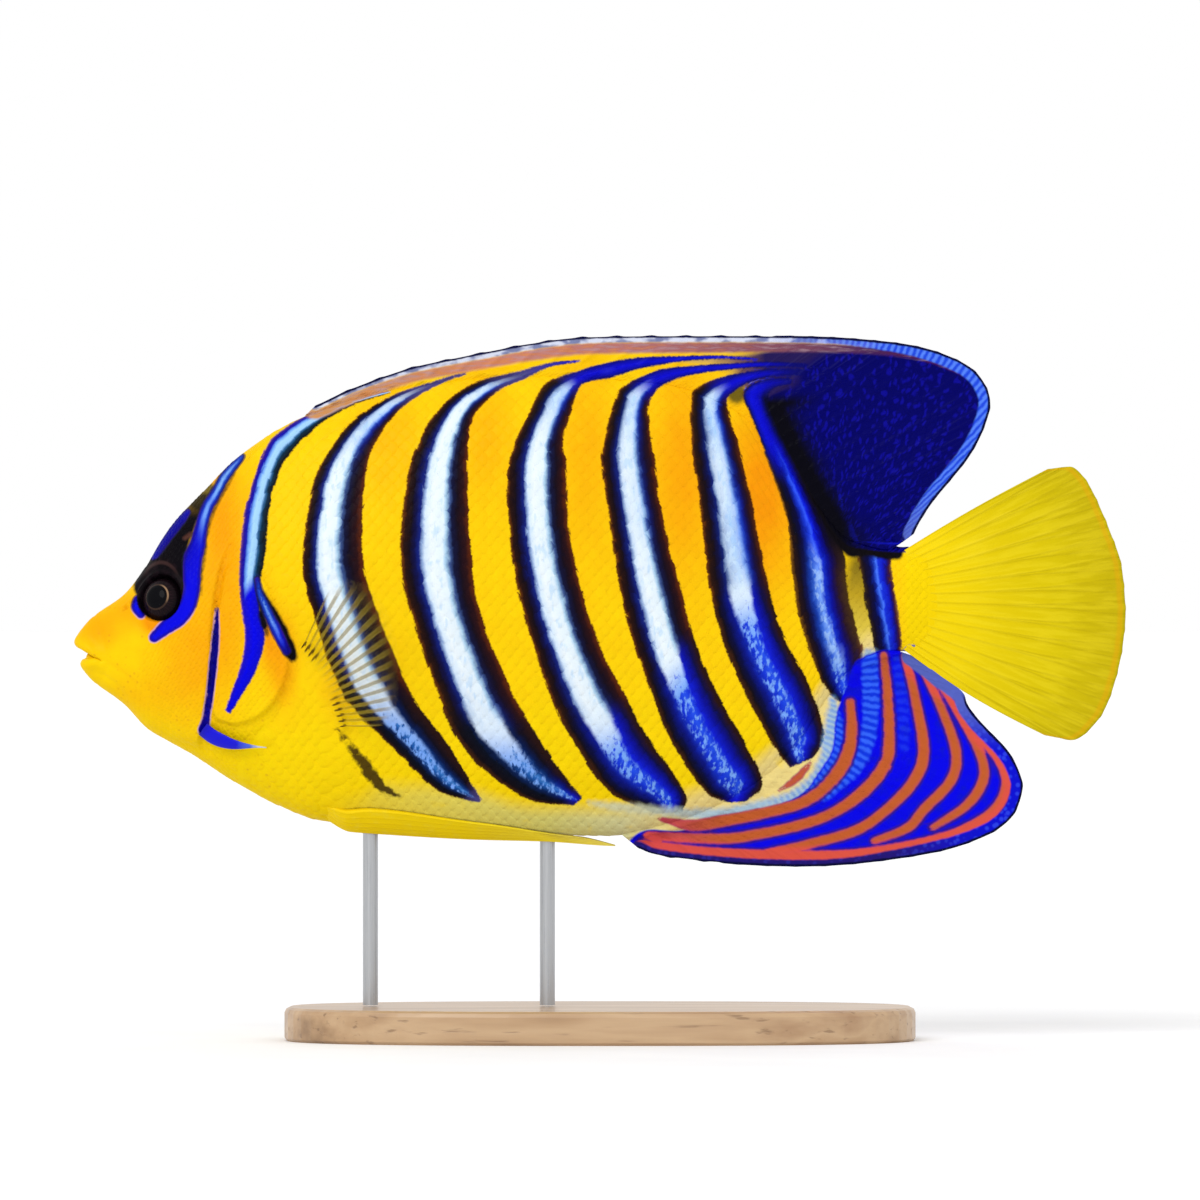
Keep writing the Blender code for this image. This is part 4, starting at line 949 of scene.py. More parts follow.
class Surface:
    """A grid of points with normals, on which scales and plates are laid."""

    def __init__(self, points, normals, wrap):
        self.points, self.normals, self.wrap = points, normals, wrap

    def corners(self, i, k):
        """The grid cell round each place, and how far along and across it the place is."""
        rows, columns = self.points.shape[:2]
        i = np.clip(i, 0, rows - 1.001)
        k = k % columns if self.wrap else np.clip(k, 0, columns - 1.001)
        a, b = np.floor(i).astype(int), np.floor(k).astype(int)
        following = (b + 1) % columns if self.wrap else b + 1
        return a, b, following, (i - a)[..., None], (k - b)[..., None]

    def read(self, grid, i, k):
        """A value at each place, blended between the cell's corners."""
        a, b, following, u, v = self.corners(i, k)
        low = grid[a, b] * (1 - v) + grid[a, following] * v
        high = grid[a + 1, b] * (1 - v) + grid[a + 1, following] * v
        return low * (1 - u) + high * u

    def steps(self, i, k):
        """The millimetres that one row and one column take up at each place."""
        by_row = self.read(self.points, i + 0.5, k) - self.read(self.points, i - 0.5, k)
        by_column = self.read(self.points, i, k + 0.5) - self.read(self.points, i, k - 0.5)
        return (np.maximum(np.linalg.norm(step, axis=1), 0.05) for step in (by_row, by_column))


def make_skin(look):
    """The skin of head, trunk and tail stalk, and the surface that the scales lie on."""
    half, mouth_rows = skin_rows()
    half = raise_features(half, half_normals(half), mouth_rows)
    normals = half_normals(half)
    under_scales = smooth_step((half[..., 0] - 12.0) / 6.0)
    points = full_rings(half - normals * SCALE_LIFT * under_scales[..., None])
    rows, columns = points.shape[:2]
    faces = np.vstack([
        grid_faces(rows, columns, wrap=True),
        cap_faces(0, columns),
        cap_faces((rows - 1) * columns, columns, flip=True),
    ])
    fields = side_fields(points)
    # lip: 1 inside the mouth's slit, fading to 0 over the first rows; painted shade for the dark of the
    # recess
    fields["lip"] = np.zeros((rows, columns))
    fields["lip"][:8] = np.linspace(1, 0, 8)[:, None]
    obj = add_mesh("skin", points, faces, look, fields)
    return obj, Surface(points, full_rings(normals), wrap=True)


# Scales


def lay_plates(name, surface, roots, lengths, widths, lie, look, seed, lift=SCALE_LIFT, slip=0.2):
    """Overlapping scales on a surface, joined in one mesh.

    roots: grid places of the scales' hidden ends. lie: the angle by which they point away from
    the next row, towards the next column. lift: how far they stand out. slip: the most by which a
    scale's markings are shifted.
    """
    random = np.random.default_rng(seed)
    count = len(roots)
    a = np.array(SCALE_ALONG)[None, :, None]
    b = np.array(SCALE_ACROSS)[None, None, :]
    shape = (count, a.size, b.size)
    i0, k0 = roots[:, 0][:, None, None], roots[:, 1][:, None, None]
    long_i, long_k = surface.steps(roots[:, 0], roots[:, 1])
    lengths = lengths * (1 + random.uniform(-0.05, 0.05, count))
    widths = widths * (1 + random.uniform(-0.05, 0.05, count))
    turn = lie + random.uniform(-0.06, 0.06, count)
    round_end = 0.55 + 0.45 * np.sqrt(np.clip(1 - (b * 0.97) ** 2, 0, 1))
    spread = 0.75 + 0.25 * smooth_step(a / 0.5)
    along = a * round_end * lengths[:, None, None]
    beside = b * spread * widths[:, None, None] / 2
    cos, sin = np.cos(turn)[:, None, None], np.sin(turn)[:, None, None]
    di = (along * cos - beside * sin) / long_i[:, None, None]
    dk = (along * sin + beside * cos) / long_k[:, None, None]
    i, k = i0 + di, k0 + dk
    crown = lift * (1 - 0.45 * b * b)
    rise = -0.14 + (0.14 + crown) * smooth_step(a * 1.15)
    rim = np.maximum(a**3, np.abs(b) ** 5 * (a > 0.2))
    rise = rise - 0.07 * (a > 0.99) - 0.05 * (np.abs(b) > 0.99) * (a > 0.3)
    points = surface.read(surface.points, i, k) + surface.read(surface.normals, i, k) * rise[..., None]
    fields = side_fields(points, shift=random.uniform(-slip, slip, count)[:, None, None])
    fields["rim"] = np.broadcast_to(rim, shape)
    fields["shade"] = np.broadcast_to(random.uniform(0, 1, count)[:, None, None], shape)
    fields["grow"] = np.broadcast_to(a, shape)
    fields["fan"] = np.broadcast_to(b, shape)
    one = grid_faces(a.size, b.size)
    faces = (one[None] + (np.arange(count) * a.size * b.size)[:, None, None]).reshape(-1, 4)
    obj = add_mesh(name, points, faces, look, fields)
    size = surface.points.shape
    root_u = roots[:, 0] / size[0]
    root_v = (roots[:, 1] % size[1]) / size[1] if surface.wrap else roots[:, 1] / size[1]
    u = root_u[:, None, None] + (np.broadcast_to(a, shape) - 0.5) * 2 * BAKE_PATCH
    v = root_v[:, None, None] + np.broadcast_to(b, shape) * BAKE_PATCH
    flat = np.stack([np.clip(u, 0, 1), np.clip(v, 0, 1)], -1).reshape(-1, 2)
    set_uv(obj, "OFBake", flat[faces.ravel()])
    return obj


def flank_roots(points, first, ends, pitch, row_gap, shrink, edge):
    """Staggered rows of scales' roots along one flank, as grid places, and each scale's size.

    first: the column of the flank's first line of points. ends: the stations from and up to which
    they run. shrink: the share of full size, by station. edge: the columns left free at back and belly.
    """
    rows, columns = points.shape[:2]
    half = columns // 2
    ring = np.concatenate([points, points[:, :1]], axis=1)[:, first : first + half + 1]
    middle = ring[:, half // 2]
    along = length_along(middle)
    girth = np.linalg.norm(np.diff(ring, axis=1), axis=2).sum(1)
    start = along[int(np.argmax(middle[:, 0] > ends[0]))]
    end = along[int(np.argmax(middle[:, 0] > ends[1]))] if ends[1] < SKIN_END else along[-1] - 1.0
    roots, sizes = [], []
    for row in range(-MOST_SCALE_ROWS, MOST_SCALE_ROWS + 1):
        at = start + (row % 2) * 0.5 * pitch
        while at < end:
            i = np.interp(at, along, np.arange(rows))
            smaller = shrink(np.interp(i, np.arange(rows), middle[:, 0]))
            k = half * (0.5 + row * row_gap * smaller / np.interp(i, np.arange(rows), girth))
            if edge < k < half - edge:
                roots.append((i, k + first))
                sizes.append(smaller)
            at += pitch * smaller
    return np.array(roots), np.array(sizes)


def make_body_scales(surface, look):
    """Rows of scales along the flanks, from the gill opening to the root of the tail fin."""
    pieces = []
    for side, first in (("left", 0), ("right", surface.points.shape[1] // 2)):
        roots, sizes = flank_roots(
            surface.points, first, BODY_SCALES["ends"], SCALE_PITCH, SCALE_ROW,
            lambda station: 1.0 - 0.35 * smooth_step((station - 135.0) / 40.0), 1.0,
        )
        keep = scaled_body(surface.read(surface.points, roots[:, 0], roots[:, 1]))
        roots, sizes = roots[keep], sizes[keep]
        obj = lay_plates(
            f"scales_{side}", surface, roots, BODY_SCALES["length"] * sizes,
            BODY_SCALES["width"] * sizes, 0.0, look, SCALE_SEED + first,
        )
        pieces.append(obj)
    return pieces


def scaled_body(here):
    """Whether the flank's large scales grow at each place."""
    s, h = here[:, 0], here[:, 2]
    outside_cover = outline_depth(s, h, cover_outline) < -0.4
    behind_head = s > 33.0 + 6.0 * smooth_step((h + 34.0) / 12.0) * smooth_step((12.0 - h) / 4.0)
    return outside_cover & behind_head & (s < 176.0)


def make_head_scales(surface, look):
    """Small scales on nape, cheeks, gill covers and throat."""
    pieces = []
    for side, first in (("left", 0), ("right", surface.points.shape[1] // 2)):
        roots, _ = flank_roots(
            surface.points, first, HEAD_SCALES["ends"], HEAD_SCALES["pitch"], HEAD_SCALES["row"],
            lambda station: 1.0, 0.5,
        )
        here = surface.read(surface.points, roots[:, 0], roots[:, 1])
        keep = scaled_head(here)
        station = here[keep][:, 0]
        sizes = 0.86 + 0.18 * smooth_step((station - 12.0) / 25.0)
        flatter = 0.35 + 0.65 * smooth_step((station - 12.0) / 9.0)
        obj = lay_plates(
            f"head_scales_{side}", surface, roots[keep], HEAD_SCALES["length"] * sizes,
            HEAD_SCALES["width"] * sizes, 0.0, look, HEAD_SCALES["seed"] + first,
            0.075 * flatter[:, None, None], 0.06,
        )
        pieces.append(obj)
    return pieces


def scaled_head(here):
    """Whether the head's small scales grow at each place."""
    s, h = here[:, 0], here[:, 2]
    eye = skin_frame(*EYE_CENTRE, 1)[0]
    from_eye = np.hypot(s - eye[0], h - eye[2])
    snout = 11.5 + 3.0 * smooth_step((h + 18.0) / 12.0)
    keep = (s > snout) & (from_eye > 6.6) & ~scaled_body(here)
    for station, height, radius in NOSTRILS:
        keep &= np.hypot(s - station, h - height) > radius + 1.4
    return keep


# Fins


def soft_ridges(off, share, branching=1.0, stout=1.0):
    """How much of a soft ray stands at a place off its middle, in rays. It branches twice to the tip."""
    first = branching * 0.20 * smooth_step((share - 0.30) / 0.70)
    second = branching * 0.10 * smooth_step((share - 0.60) / 0.40)
    width = stout * (0.12 - 0.07 * smooth_step(share / 0.9))
    best = np.zeros(np.broadcast(off, share).shape)
    for way in (-1, 1):
        for further in (-1, 1):
            best = np.maximum(best, np.exp(-(((off - way * first - further * second) / width) ** 2)))
    return best


def fin_columns(spines, rays, per_spine, per_ray):
    """Places across a fin, in rays."""
    spiny = np.arange(0, spines, 1 / per_spine) if spines else np.array([])
    soft = np.linspace(spines, spines + rays - 1, (rays - 1) * per_ray + 1)
    return np.concatenate([spiny, soft])


def ray_shares(spines, rays, soft_start):
    """The share along a fin's edge at which each spine and ray stands."""
    of_spines = np.linspace(0, soft_start, spines, endpoint=False)
    return np.concatenate([of_spines, np.linspace(soft_start, 1, rays)])


def closed_sheet(name, near, far, look, fields):
    """A thin closed body from two grids of points, one for each face."""
    rows, columns = near.shape[:2]
    shift = rows * columns
    faces = [grid_faces(rows, columns), grid_faces(rows, columns, flip=True) + shift]
    rim = [*range(columns), *[(i + 1) * columns - 1 for i in range(1, rows)]]
    rim += [(rows - 1) * columns + k for k in range(columns - 2, -1, -1)]
    rim += [i * columns for i in range(rows - 2, 0, -1)]
    rim = np.array(rim)
    following = np.roll(rim, -1)
    faces.append(np.stack([following, rim, rim + shift, following + shift], -1))
    both = {key: np.concatenate([np.ravel(value), np.ravel(value)]) for key, value in fields.items()}
    points = np.concatenate([near.reshape(-1, 3), far.reshape(-1, 3)])
    return add_mesh(name, points, np.vstack(faces), look, both)


def median_fin(
    name, root, margin, spines, rays, soft_start, sunk, flesh, look,
    rows=FIN_ROWS, wave=0.3, bows=(0, 0), thin_edges=0.0,
):
    """A fin in the middle plane with its spines and branching rays raised on both faces.

    root and margin: curves along its two edges. soft_start: the shares along them at which the
    soft rays start. sunk: how deep its root lies in the trunk. flesh: how thick its base is. bows:
    how far its first and last rays bow. thin_edges: how much thinner its base is at both ends.
    """
    index = np.arange(spines + rays)
    at = fin_columns(spines, rays, COLUMNS_PER_SPINE, COLUMNS_PER_RAY)
    root_share = np.interp(at, index, ray_shares(spines, rays, soft_start["root"]))
    tip_share = np.interp(at, index, ray_shares(spines, rays, soft_start["margin"]))
    roots, tips = root(root_share), margin(tip_share)
    length = np.linalg.norm(tips - roots, axis=1)
    spiny = at <= spines - 0.5 if spines else np.zeros(len(at), bool)
    off = at - np.round(at)
    between = 1 - np.exp(-((off / 0.16) ** 2))
    notch = np.where(spiny, 0.45 * between, 0.12 * between) * np.minimum(1, length / 5)
    ahead = (tips - roots) / length[:, None]
    tips = tips - ahead * notch[:, None]
    sunk = (sunk * np.clip(length / 6, 0.3, 1))[:, None]
    roots = roots - ahead * sunk
    share = np.linspace(0, 1, rows) ** ROW_SPREAD
    middle = roots[:, None] + (tips - roots)[:, None] * share[None, :, None]
    place_across = (at / at[-1])[:, None]
    bow = np.interp(place_across, (0, 1), bows) * np.sin(math.pi * share)[None, :]
    middle = middle + np.stack([-ahead[:, 1], ahead[:, 0]], -1)[:, None] * bow[..., None]
    from_root = share[None, :] * length[:, None] - sunk
    along = np.clip(from_root / np.maximum(length[:, None] - sunk, 1), 0, 1)
    spine_ridge = np.exp(-((off[:, None] / (0.15 - 0.05 * along)) ** 2))
    ridge = np.where(spiny[:, None], spine_ridge, soft_ridges(off[:, None], along))
    fade = np.clip(length / 8, 0.3, 1)[:, None]
    flesh = flesh * (1 - thin_edges * np.abs(2 * place_across - 1) ** 3)
    root_flesh = flesh * smooth_step(1 - along / 0.30) * fade + 0.5 * smooth_step(1 - from_root / 2.2)
    rise = np.where(spiny[:, None], SPINE_RISE, RAY_RISE) * (1 - along) + TIP_RISE * along
    membrane = MEMBRANE_AT_ROOT * (1 - along) + MEMBRANE_AT_MARGIN * along
    half = membrane + root_flesh + rise * ridge * smooth_step(along / 0.06 + 0.3)
    half = half * (1 - 0.45 * smooth_step((share[None, :] - 0.97) / 0.03))
    sway = wave * smooth_step(along * 1.3) * np.sin(at * 0.9)[:, None] * (~spiny)[:, None]
    near = np.stack([middle[..., 0], sway - half, middle[..., 1]], -1)
    far = np.stack([middle[..., 0], sway + half, middle[..., 1]], -1)
    fields = side_fields(near)
    fields["ray"] = ridge
    fields["ray_at"] = np.broadcast_to(at[:, None], ridge.shape)
    fields["out"] = np.maximum(from_root, 0)
    fields["share"] = along
    obj = closed_sheet(name, near, far, look, fields)
    return obj, near, far


def outline_root(line, start, end):
    """The trunk's outline from start to end as a function of the share of its length."""
    stations = np.linspace(start, end, 80)
    return curve(np.stack([stations, line(stations)], -1))


def make_fin_scales(name, near, far, reach, look, seed):
    """Small scales that climb from the trunk onto a fin's base, on both of its faces.

    reach: the share of the rays' length that they cover, by station.
    """
    pitch = FIN_SCALE_PITCH
    size = pitch / SCALE_PITCH
    pieces = []
    for side, face in (("left", near), ("right", far)):
        outward = -1.0 if side == "left" else 1.0
        normals = unit(np.cross(np.gradient(face, axis=0), np.gradient(face, axis=1)))
        if np.mean(normals[..., 1]) * outward < 0:
            normals = -normals
        surface = Surface(face, normals, wrap=False)
        middle = face[:, face.shape[1] // 4]
        along = length_along(middle)
        lengths = np.linalg.norm(np.diff(face, axis=1), axis=2).sum(1)
        roots = []
        for row in range(60):
            out = row * pitch * 0.56
            at = (row % 2) * pitch / 2
            while at < along[-1]:
                i = np.interp(at, along, np.arange(len(along)))
                length = np.interp(i, np.arange(len(along)), lengths)
                limit = reach(np.interp(i, np.arange(len(along)), middle[:, 0])) * length
                if out < limit - 1.2:
                    k = (face.shape[1] - 1) * (out / length) ** (1 / ROW_SPREAD)
                    roots.append((i, k))
                at += pitch
        obj = lay_plates(
            f"{name}_{side}", surface, np.array(roots), 4.2 * size, 3.2 * size, 0.5, look, seed, 0.06, 0.1
        )
        pieces.append(obj)
    return pieces


def ray_fields(ridge, out, at):
    """A paired fin's fields: its rays, the share of their length and the place across them."""
    return {
        "ray": ridge,
        "share": np.broadcast_to(out, ridge.shape),
        "ray_at": np.broadcast_to(at[:, None], ridge.shape),
    }


def paired_sheet(name, grid, rises, look, fields, normals=None, roots=None):
    """A thin fin round its middle surface, with its rays raised on both faces.

    roots: the two lines on the skin from which its faces start.
    """
    middle = np.array(grid)
    if normals is None:
        normals = unit(np.cross(np.gradient(middle, axis=0), np.gradient(middle, axis=1)))
    near, far = middle + normals * rises[..., None], middle - normals * rises[..., None]
    if roots is not None:
        near[:, 0], far[:, 0] = roots
    return closed_sheet(name, near, far, look, fields)


def make_pectoral(side_name, side, look):
    """A clear fan of branching soft rays behind the gill cover."""
    lengths = profile(PECTORAL_LENGTHS)
    at = np.linspace(0, PECTORAL_RAYS - 1, (PECTORAL_RAYS - 1) * COLUMNS_PER_PAIRED_RAY + 1)
    grid, front_roots, rear_roots = [], [], []
    out = np.linspace(0, 1, FIN_ROWS)
    spread = math.radians(PECTORAL_SPREAD)
    off = at - np.round(at)
    for place in at:
        share = place / (PECTORAL_RAYS - 1)
        station = np.interp(share, (0, 1), PECTORAL_ROOT["back"])
        height = np.interp(share, (0, 1), PECTORAL_ROOT["height"])
        here, to_back, to_top, outward = skin_frame(station, height, side)
        behind = skin_frame(station + PECTORAL_ROOT["thickness"], height, side)[0]
        front_roots.append(here - PECTORAL_SUNK * outward)
        rear_roots.append(behind - PECTORAL_SUNK * outward)
        middle = (front_roots[-1] + rear_roots[-1]) / 2
        angle = math.radians(np.interp(share, (0, 1), PECTORAL_ANGLES))
        along_flank = math.cos(angle) * to_back + math.sin(angle) * to_top
        ray = math.cos(spread) * along_flank + math.sin(spread) * outward
        length = lengths(share) - 0.35 * (1 - math.exp(-((place - round(place)) / 0.2) ** 2))
        bow = PECTORAL_BEND * out * (1 - out)
        ripple = 0.25 * out * math.sin(place * 2.1)
        grid.append(middle + ray * length * out[:, None] + outward * (bow + ripple)[:, None])
    ridge = soft_ridges(off[:, None], out[None, :], branching=0.45, stout=0.9)
    rises = 0.10 + 0.55 * smooth_step(1 - out / 0.22)[None, :] + 0.16 * (1 - 0.5 * out)[None, :] * ridge
    grid = np.array(grid)
    faces_front = np.cross(grid[1, 3] - grid[0, 3], grid[0, 4] - grid[0, 3])[0] <= 0
    roots = (np.array(front_roots), np.array(rear_roots))
    if not faces_front:
        roots = roots[::-1]
    return paired_sheet(
        f"fin_pectoral_{side_name}", grid, rises, look, ray_fields(ridge, out, at), roots=roots
    )


def make_pelvic(side_name, side, look):
    """A long narrow fin folded back along the belly."""
    inner, outer, droop = profile(PELVIC_INNER_EDGE), profile(PELVIC_OUTER_EDGE), profile(PELVIC_DROOP)
    at = np.linspace(0, PELVIC_RAYS - 1, (PELVIC_RAYS - 1) * COLUMNS_PER_PAIRED_RAY + 1)
    out = np.linspace(0, 1, PELVIC_ROWS)[None, :]
    share = (at / (PELVIC_RAYS - 1))[:, None]
    off = (at - np.round(at))[:, None]
    ridge = soft_ridges(off, out)
    start = PELVIC_ROOT - 2.0
    station = start + (PELVIC_TIP - PELVIC_ROOT + 2.0) * out * (1 - 0.12 * share * out)
    aside = inner(out) + (outer(out) - inner(out)) * share
    half = 0.14 + 0.45 * (1 - out) ** 2 + 0.04 * (1 - 0.7 * out) * ridge
    sunk = 2.6 * smooth_step(1 - out / 0.12)
    drop = 0.3 + 0.15 + half + droop(out) * (1 - share) ** 1.5 - sunk
    grid = np.stack([station, side * aside, underside(station, aside) - drop], -1)
    tilt = math.radians(PELVIC_TILT)
    thick_along = np.array([0.0, -side * math.sin(tilt), math.cos(tilt)])
    return paired_sheet(f"fin_pelvic_{side_name}", grid, half, look, ray_fields(ridge, out, at), thick_along)


# Eyes and spines


def turned_body(name, centre, axis, outline, around, look, fields):
    """A body turned round an axis: outline gives (distance from the axis, distance along it)."""
    first = unit(np.cross(axis, (0.0, 0.0, 1.0)))
    second = np.cross(axis, first)
    turn = np.linspace(0, 2 * math.pi, around, endpoint=False)
    outline = np.array(outline)
    rim = np.cos(turn)[:, None] * first + np.sin(turn)[:, None] * second
    points = centre + outline[:, 0][:, None, None] * rim[None] + (outline[:, 1][:, None] * axis)[:, None, :]
    shape = points.shape[:2]
    made = {key: np.broadcast_to(np.asarray(value)[:, None], shape) for key, value in fields.items()}
    made["turn"] = np.broadcast_to(turn[None, :], shape)
    # towards_glint: how far each place round the axis faces the painted highlight on the eye's golden ring
    made["towards_glint"] = np.broadcast_to((rim @ np.array(GLINT_TOWARDS))[None, :], shape)
    return add_mesh(name, points, grid_faces(len(outline), around, wrap=True), look, made)


def make_eye(side_name, side, look):
    """An eyeball whose clear front bulges a little over the iris and the pupil."""
    here, _, _, axis = skin_frame(*EYE_CENTRE, side)
    centre = here + (EYE_STANDS_OUT - EYE_DEPTH) * axis
    pupil, ring = np.linspace(0.001, 2.2, 18), np.linspace(2.3, 3.0, 15)
    iris = np.linspace(3.1, IRIS_RADIUS, 24)
    from_axis = np.concatenate([pupil, ring, iris])
    depth = EYE_DEPTH * np.sqrt(np.clip(1 - (from_axis / EYE_RADIUS) ** 2, 0, 1))
    depth = depth + CORNEA_RISE * smooth_step((3.4 - from_axis) / 1.6)
    outline = [*zip(from_axis, depth)]
    tilt = np.linspace(math.asin(IRIS_RADIUS / EYE_RADIUS) + 0.05, math.pi - 0.02, 18)
    outline += [(EYE_RADIUS * math.sin(t), EYE_DEPTH * math.cos(t)) for t in tilt]
    radii = [p[0] if i < len(from_axis) else EYE_RADIUS for i, p in enumerate(outline)]
    return turned_body(f"eyeball_{side_name}", centre, axis, outline, 96, look, {"radius": radii})


def make_cheek_spine(side_name, side, look):
    """The spine at the lower corner of the cheek."""
    path = curve(CHEEK_SPINE)
    steps, around = 60, 28
    share = np.linspace(0, 1, steps)
    ahead = path(np.minimum(share + 0.02, 1)) - path(np.maximum(share - 0.02, 0))
    across = unit(np.stack([-ahead[:, 1], ahead[:, 0]], -1))
    taper = 1.0 - 0.93 * smooth_step((share - 0.2) / 0.8)
    width, thick = CHEEK_SPINE_WIDTH * taper / 2, CHEEK_SPINE_THICKNESS * (0.3 + 0.7 * taper)
    lift = CHEEK_RISE - 0.55 + 0.8 * smooth_step(share * 1.6) + 0.5 * share**2
    turn = np.linspace(0, 2 * math.pi, around, endpoint=False)
    place = path(share)[:, None] + across[:, None] * (width[:, None] * np.cos(turn))[..., None]
    aside = flank(place[..., 0], place[..., 1]) + lift[:, None] + thick[:, None] * (0.5 + 0.5 * np.sin(turn))
    points = np.stack([place[..., 0], side * aside, place[..., 1]], -1)
    faces = np.vstack([
        grid_faces(steps, around, wrap=True, flip=side < 0),
        cap_faces(0, around, flip=side > 0),
        cap_faces((steps - 1) * around, around, flip=side < 0),
    ])
    fields = {"share": np.broadcast_to(share[:, None], (steps, around))}
    return add_mesh(f"spine_{side_name}", points, faces, look, fields)


# Materials


class Paint:
    """A material's nodes, built up by small steps."""

    def __init__(self, name, **finish):
        self.material = bpy.data.materials.new(name)
        self.material.use_nodes = True
        self.tree = self.material.node_tree
        self.shader = self.tree.nodes["Principled BSDF"]
        for key, value in finish.items():
            self.shader.inputs[key.replace("_", " ")].default_value = value
        coordinates = self.tree.nodes.new("ShaderNodeTexCoord").outputs["Object"]
        self.place = self.vector("SCALE", coordinates, scale=1 / MM)
        parts = self.tree.nodes.new("ShaderNodeSeparateXYZ")
        self.link(self.place, parts.inputs[0])
        self.station = self.add(parts.outputs["X"], TOTAL_LENGTH / 2)
        self.height = self.add(parts.outputs["Z"], -AXIS_HEIGHT)

    def link(self, value, socket):
        """Feeds a socket with another node's output, a colour or a number."""
        if isinstance(value, bpy.types.NodeSocket):
            self.tree.links.new(value, socket)
        elif isinstance(value, (tuple, str)):
            socket.default_value = (*tone(value), 1.0)
        else:
            socket.default_value = value

    def math(self, operation, a, b=0.0):
        """A sum, product or other function of two values."""
        node = self.tree.nodes.new("ShaderNodeMath")
        node.operation = operation
        self.link(a, node.inputs[0])
        self.link(b, node.inputs[1])
        return node.outputs[0]

    def add(self, a, b):
        return self.math("ADD", a, b)

    def times(self, a, b):
        return self.math("MULTIPLY", a, b)

    def vector(self, operation, a, b=None, scale=None):
        """A place moved by b, or scaled."""
        node = self.tree.nodes.new("ShaderNodeVectorMath")
        node.operation = operation
        self.link(a, node.inputs[0])
        if isinstance(b, bpy.types.NodeSocket):
            self.tree.links.new(b, node.inputs[1])
        elif b is not None:
            node.inputs[1].default_value = b
        if scale is not None:
            node.inputs["Scale"].default_value = scale
        return node.outputs[0]

    def field(self, name):
        """One of the mesh's fields."""
        node = self.tree.nodes.new("ShaderNodeAttribute")
        node.attribute_name = name
        return node.outputs["Fac"]

    def step(self, value, low, high):
        """0 below low, 1 above high, smooth between."""
        node = self.tree.nodes.new("ShaderNodeMapRange")
        node.interpolation_type = "SMOOTHSTEP"
        self.link(value, node.inputs["Value"])
        node.inputs["From Min"].default_value = min(low, high)
        node.inputs["From Max"].default_value = max(low, high)
        node.inputs["To Min"].default_value = 0.0 if low < high else 1.0
        node.inputs["To Max"].default_value = 1.0 if low < high else 0.0
        return node.outputs["Result"]

    def noise(self, period, detail=2.0, stretch=None, place=None):
        """Soft noise from 0 to 1 whose blobs are about period millimetres across."""
        node = self.tree.nodes.new("ShaderNodeTexNoise")
        at = place or self.place
        if stretch:
            at = self.vector("MULTIPLY", at, stretch)
        self.link(at, node.inputs["Vector"])
        node.inputs["Scale"].default_value = 1.0 / period
        node.inputs["Detail"].default_value = detail
        return node.outputs["Fac"]

    def cells(self, period, place=None):
        """The distance to scattered points about period millimetres apart."""
        node = self.tree.nodes.new("ShaderNodeTexVoronoi")
        self.link(place or self.place, node.inputs["Vector"])
        node.inputs["Scale"].default_value = 1.0 / period
        return node.outputs["Distance"]

    def blend(self, share, a, b):
        """Colour a turned into colour b by a share."""
        node = self.tree.nodes.new("ShaderNodeMix")
        node.data_type = "RGBA"
        self.link(share, node.inputs[0])
        self.link(a, node.inputs[6])
        self.link(b, node.inputs[7])
        return node.outputs[2]

    def ramp(self, value, stops):
        """A colour read from (value, colour) stops."""
        node = self.tree.nodes.new("ShaderNodeValToRGB")
        self.link(value, node.inputs["Fac"])
        elements = node.color_ramp.elements
        while len(elements) < len(stops):
            elements.new(0.5)
        for element, (at, colour) in zip(elements, stops):
            element.position = at
            element.color = (*tone(colour), 1.0)
        return node.outputs["Color"]

    def spokes(self, centre):
        """The direction from a centre, in radians, and the distance from it."""
        along, up = self.add(self.station, -centre[0]), self.add(self.height, -centre[1])
        reach = self.math("SQRT", self.add(self.times(along, along), self.times(up, up)))
        return self.math("ARCTAN2", up, along), reach

    def combine(self, x, y, z=0.0):
        """A place from three values."""
        node = self.tree.nodes.new("ShaderNodeCombineXYZ")
        for value, socket in zip((x, y, z), node.inputs):
            self.link(value, socket)
        return node.outputs[0]

    def colour(self, value):
        """Sets the surface's colour."""
        self.link(value, self.shader.inputs["Base Color"])

    def rough(self, value):
        """Sets the surface's roughness."""
        self.link(value, self.shader.inputs["Roughness"])

    def bump(self, height, distance, strength=1.0):
        """Small relief, with its depth in millimetres."""
        node = self.tree.nodes.new("ShaderNodeBump")
        self.link(height, node.inputs["Height"])
        node.inputs["Distance"].default_value = distance * MM
        node.inputs["Strength"].default_value = strength
        self.link(node.outputs["Normal"], self.shader.inputs["Normal"])


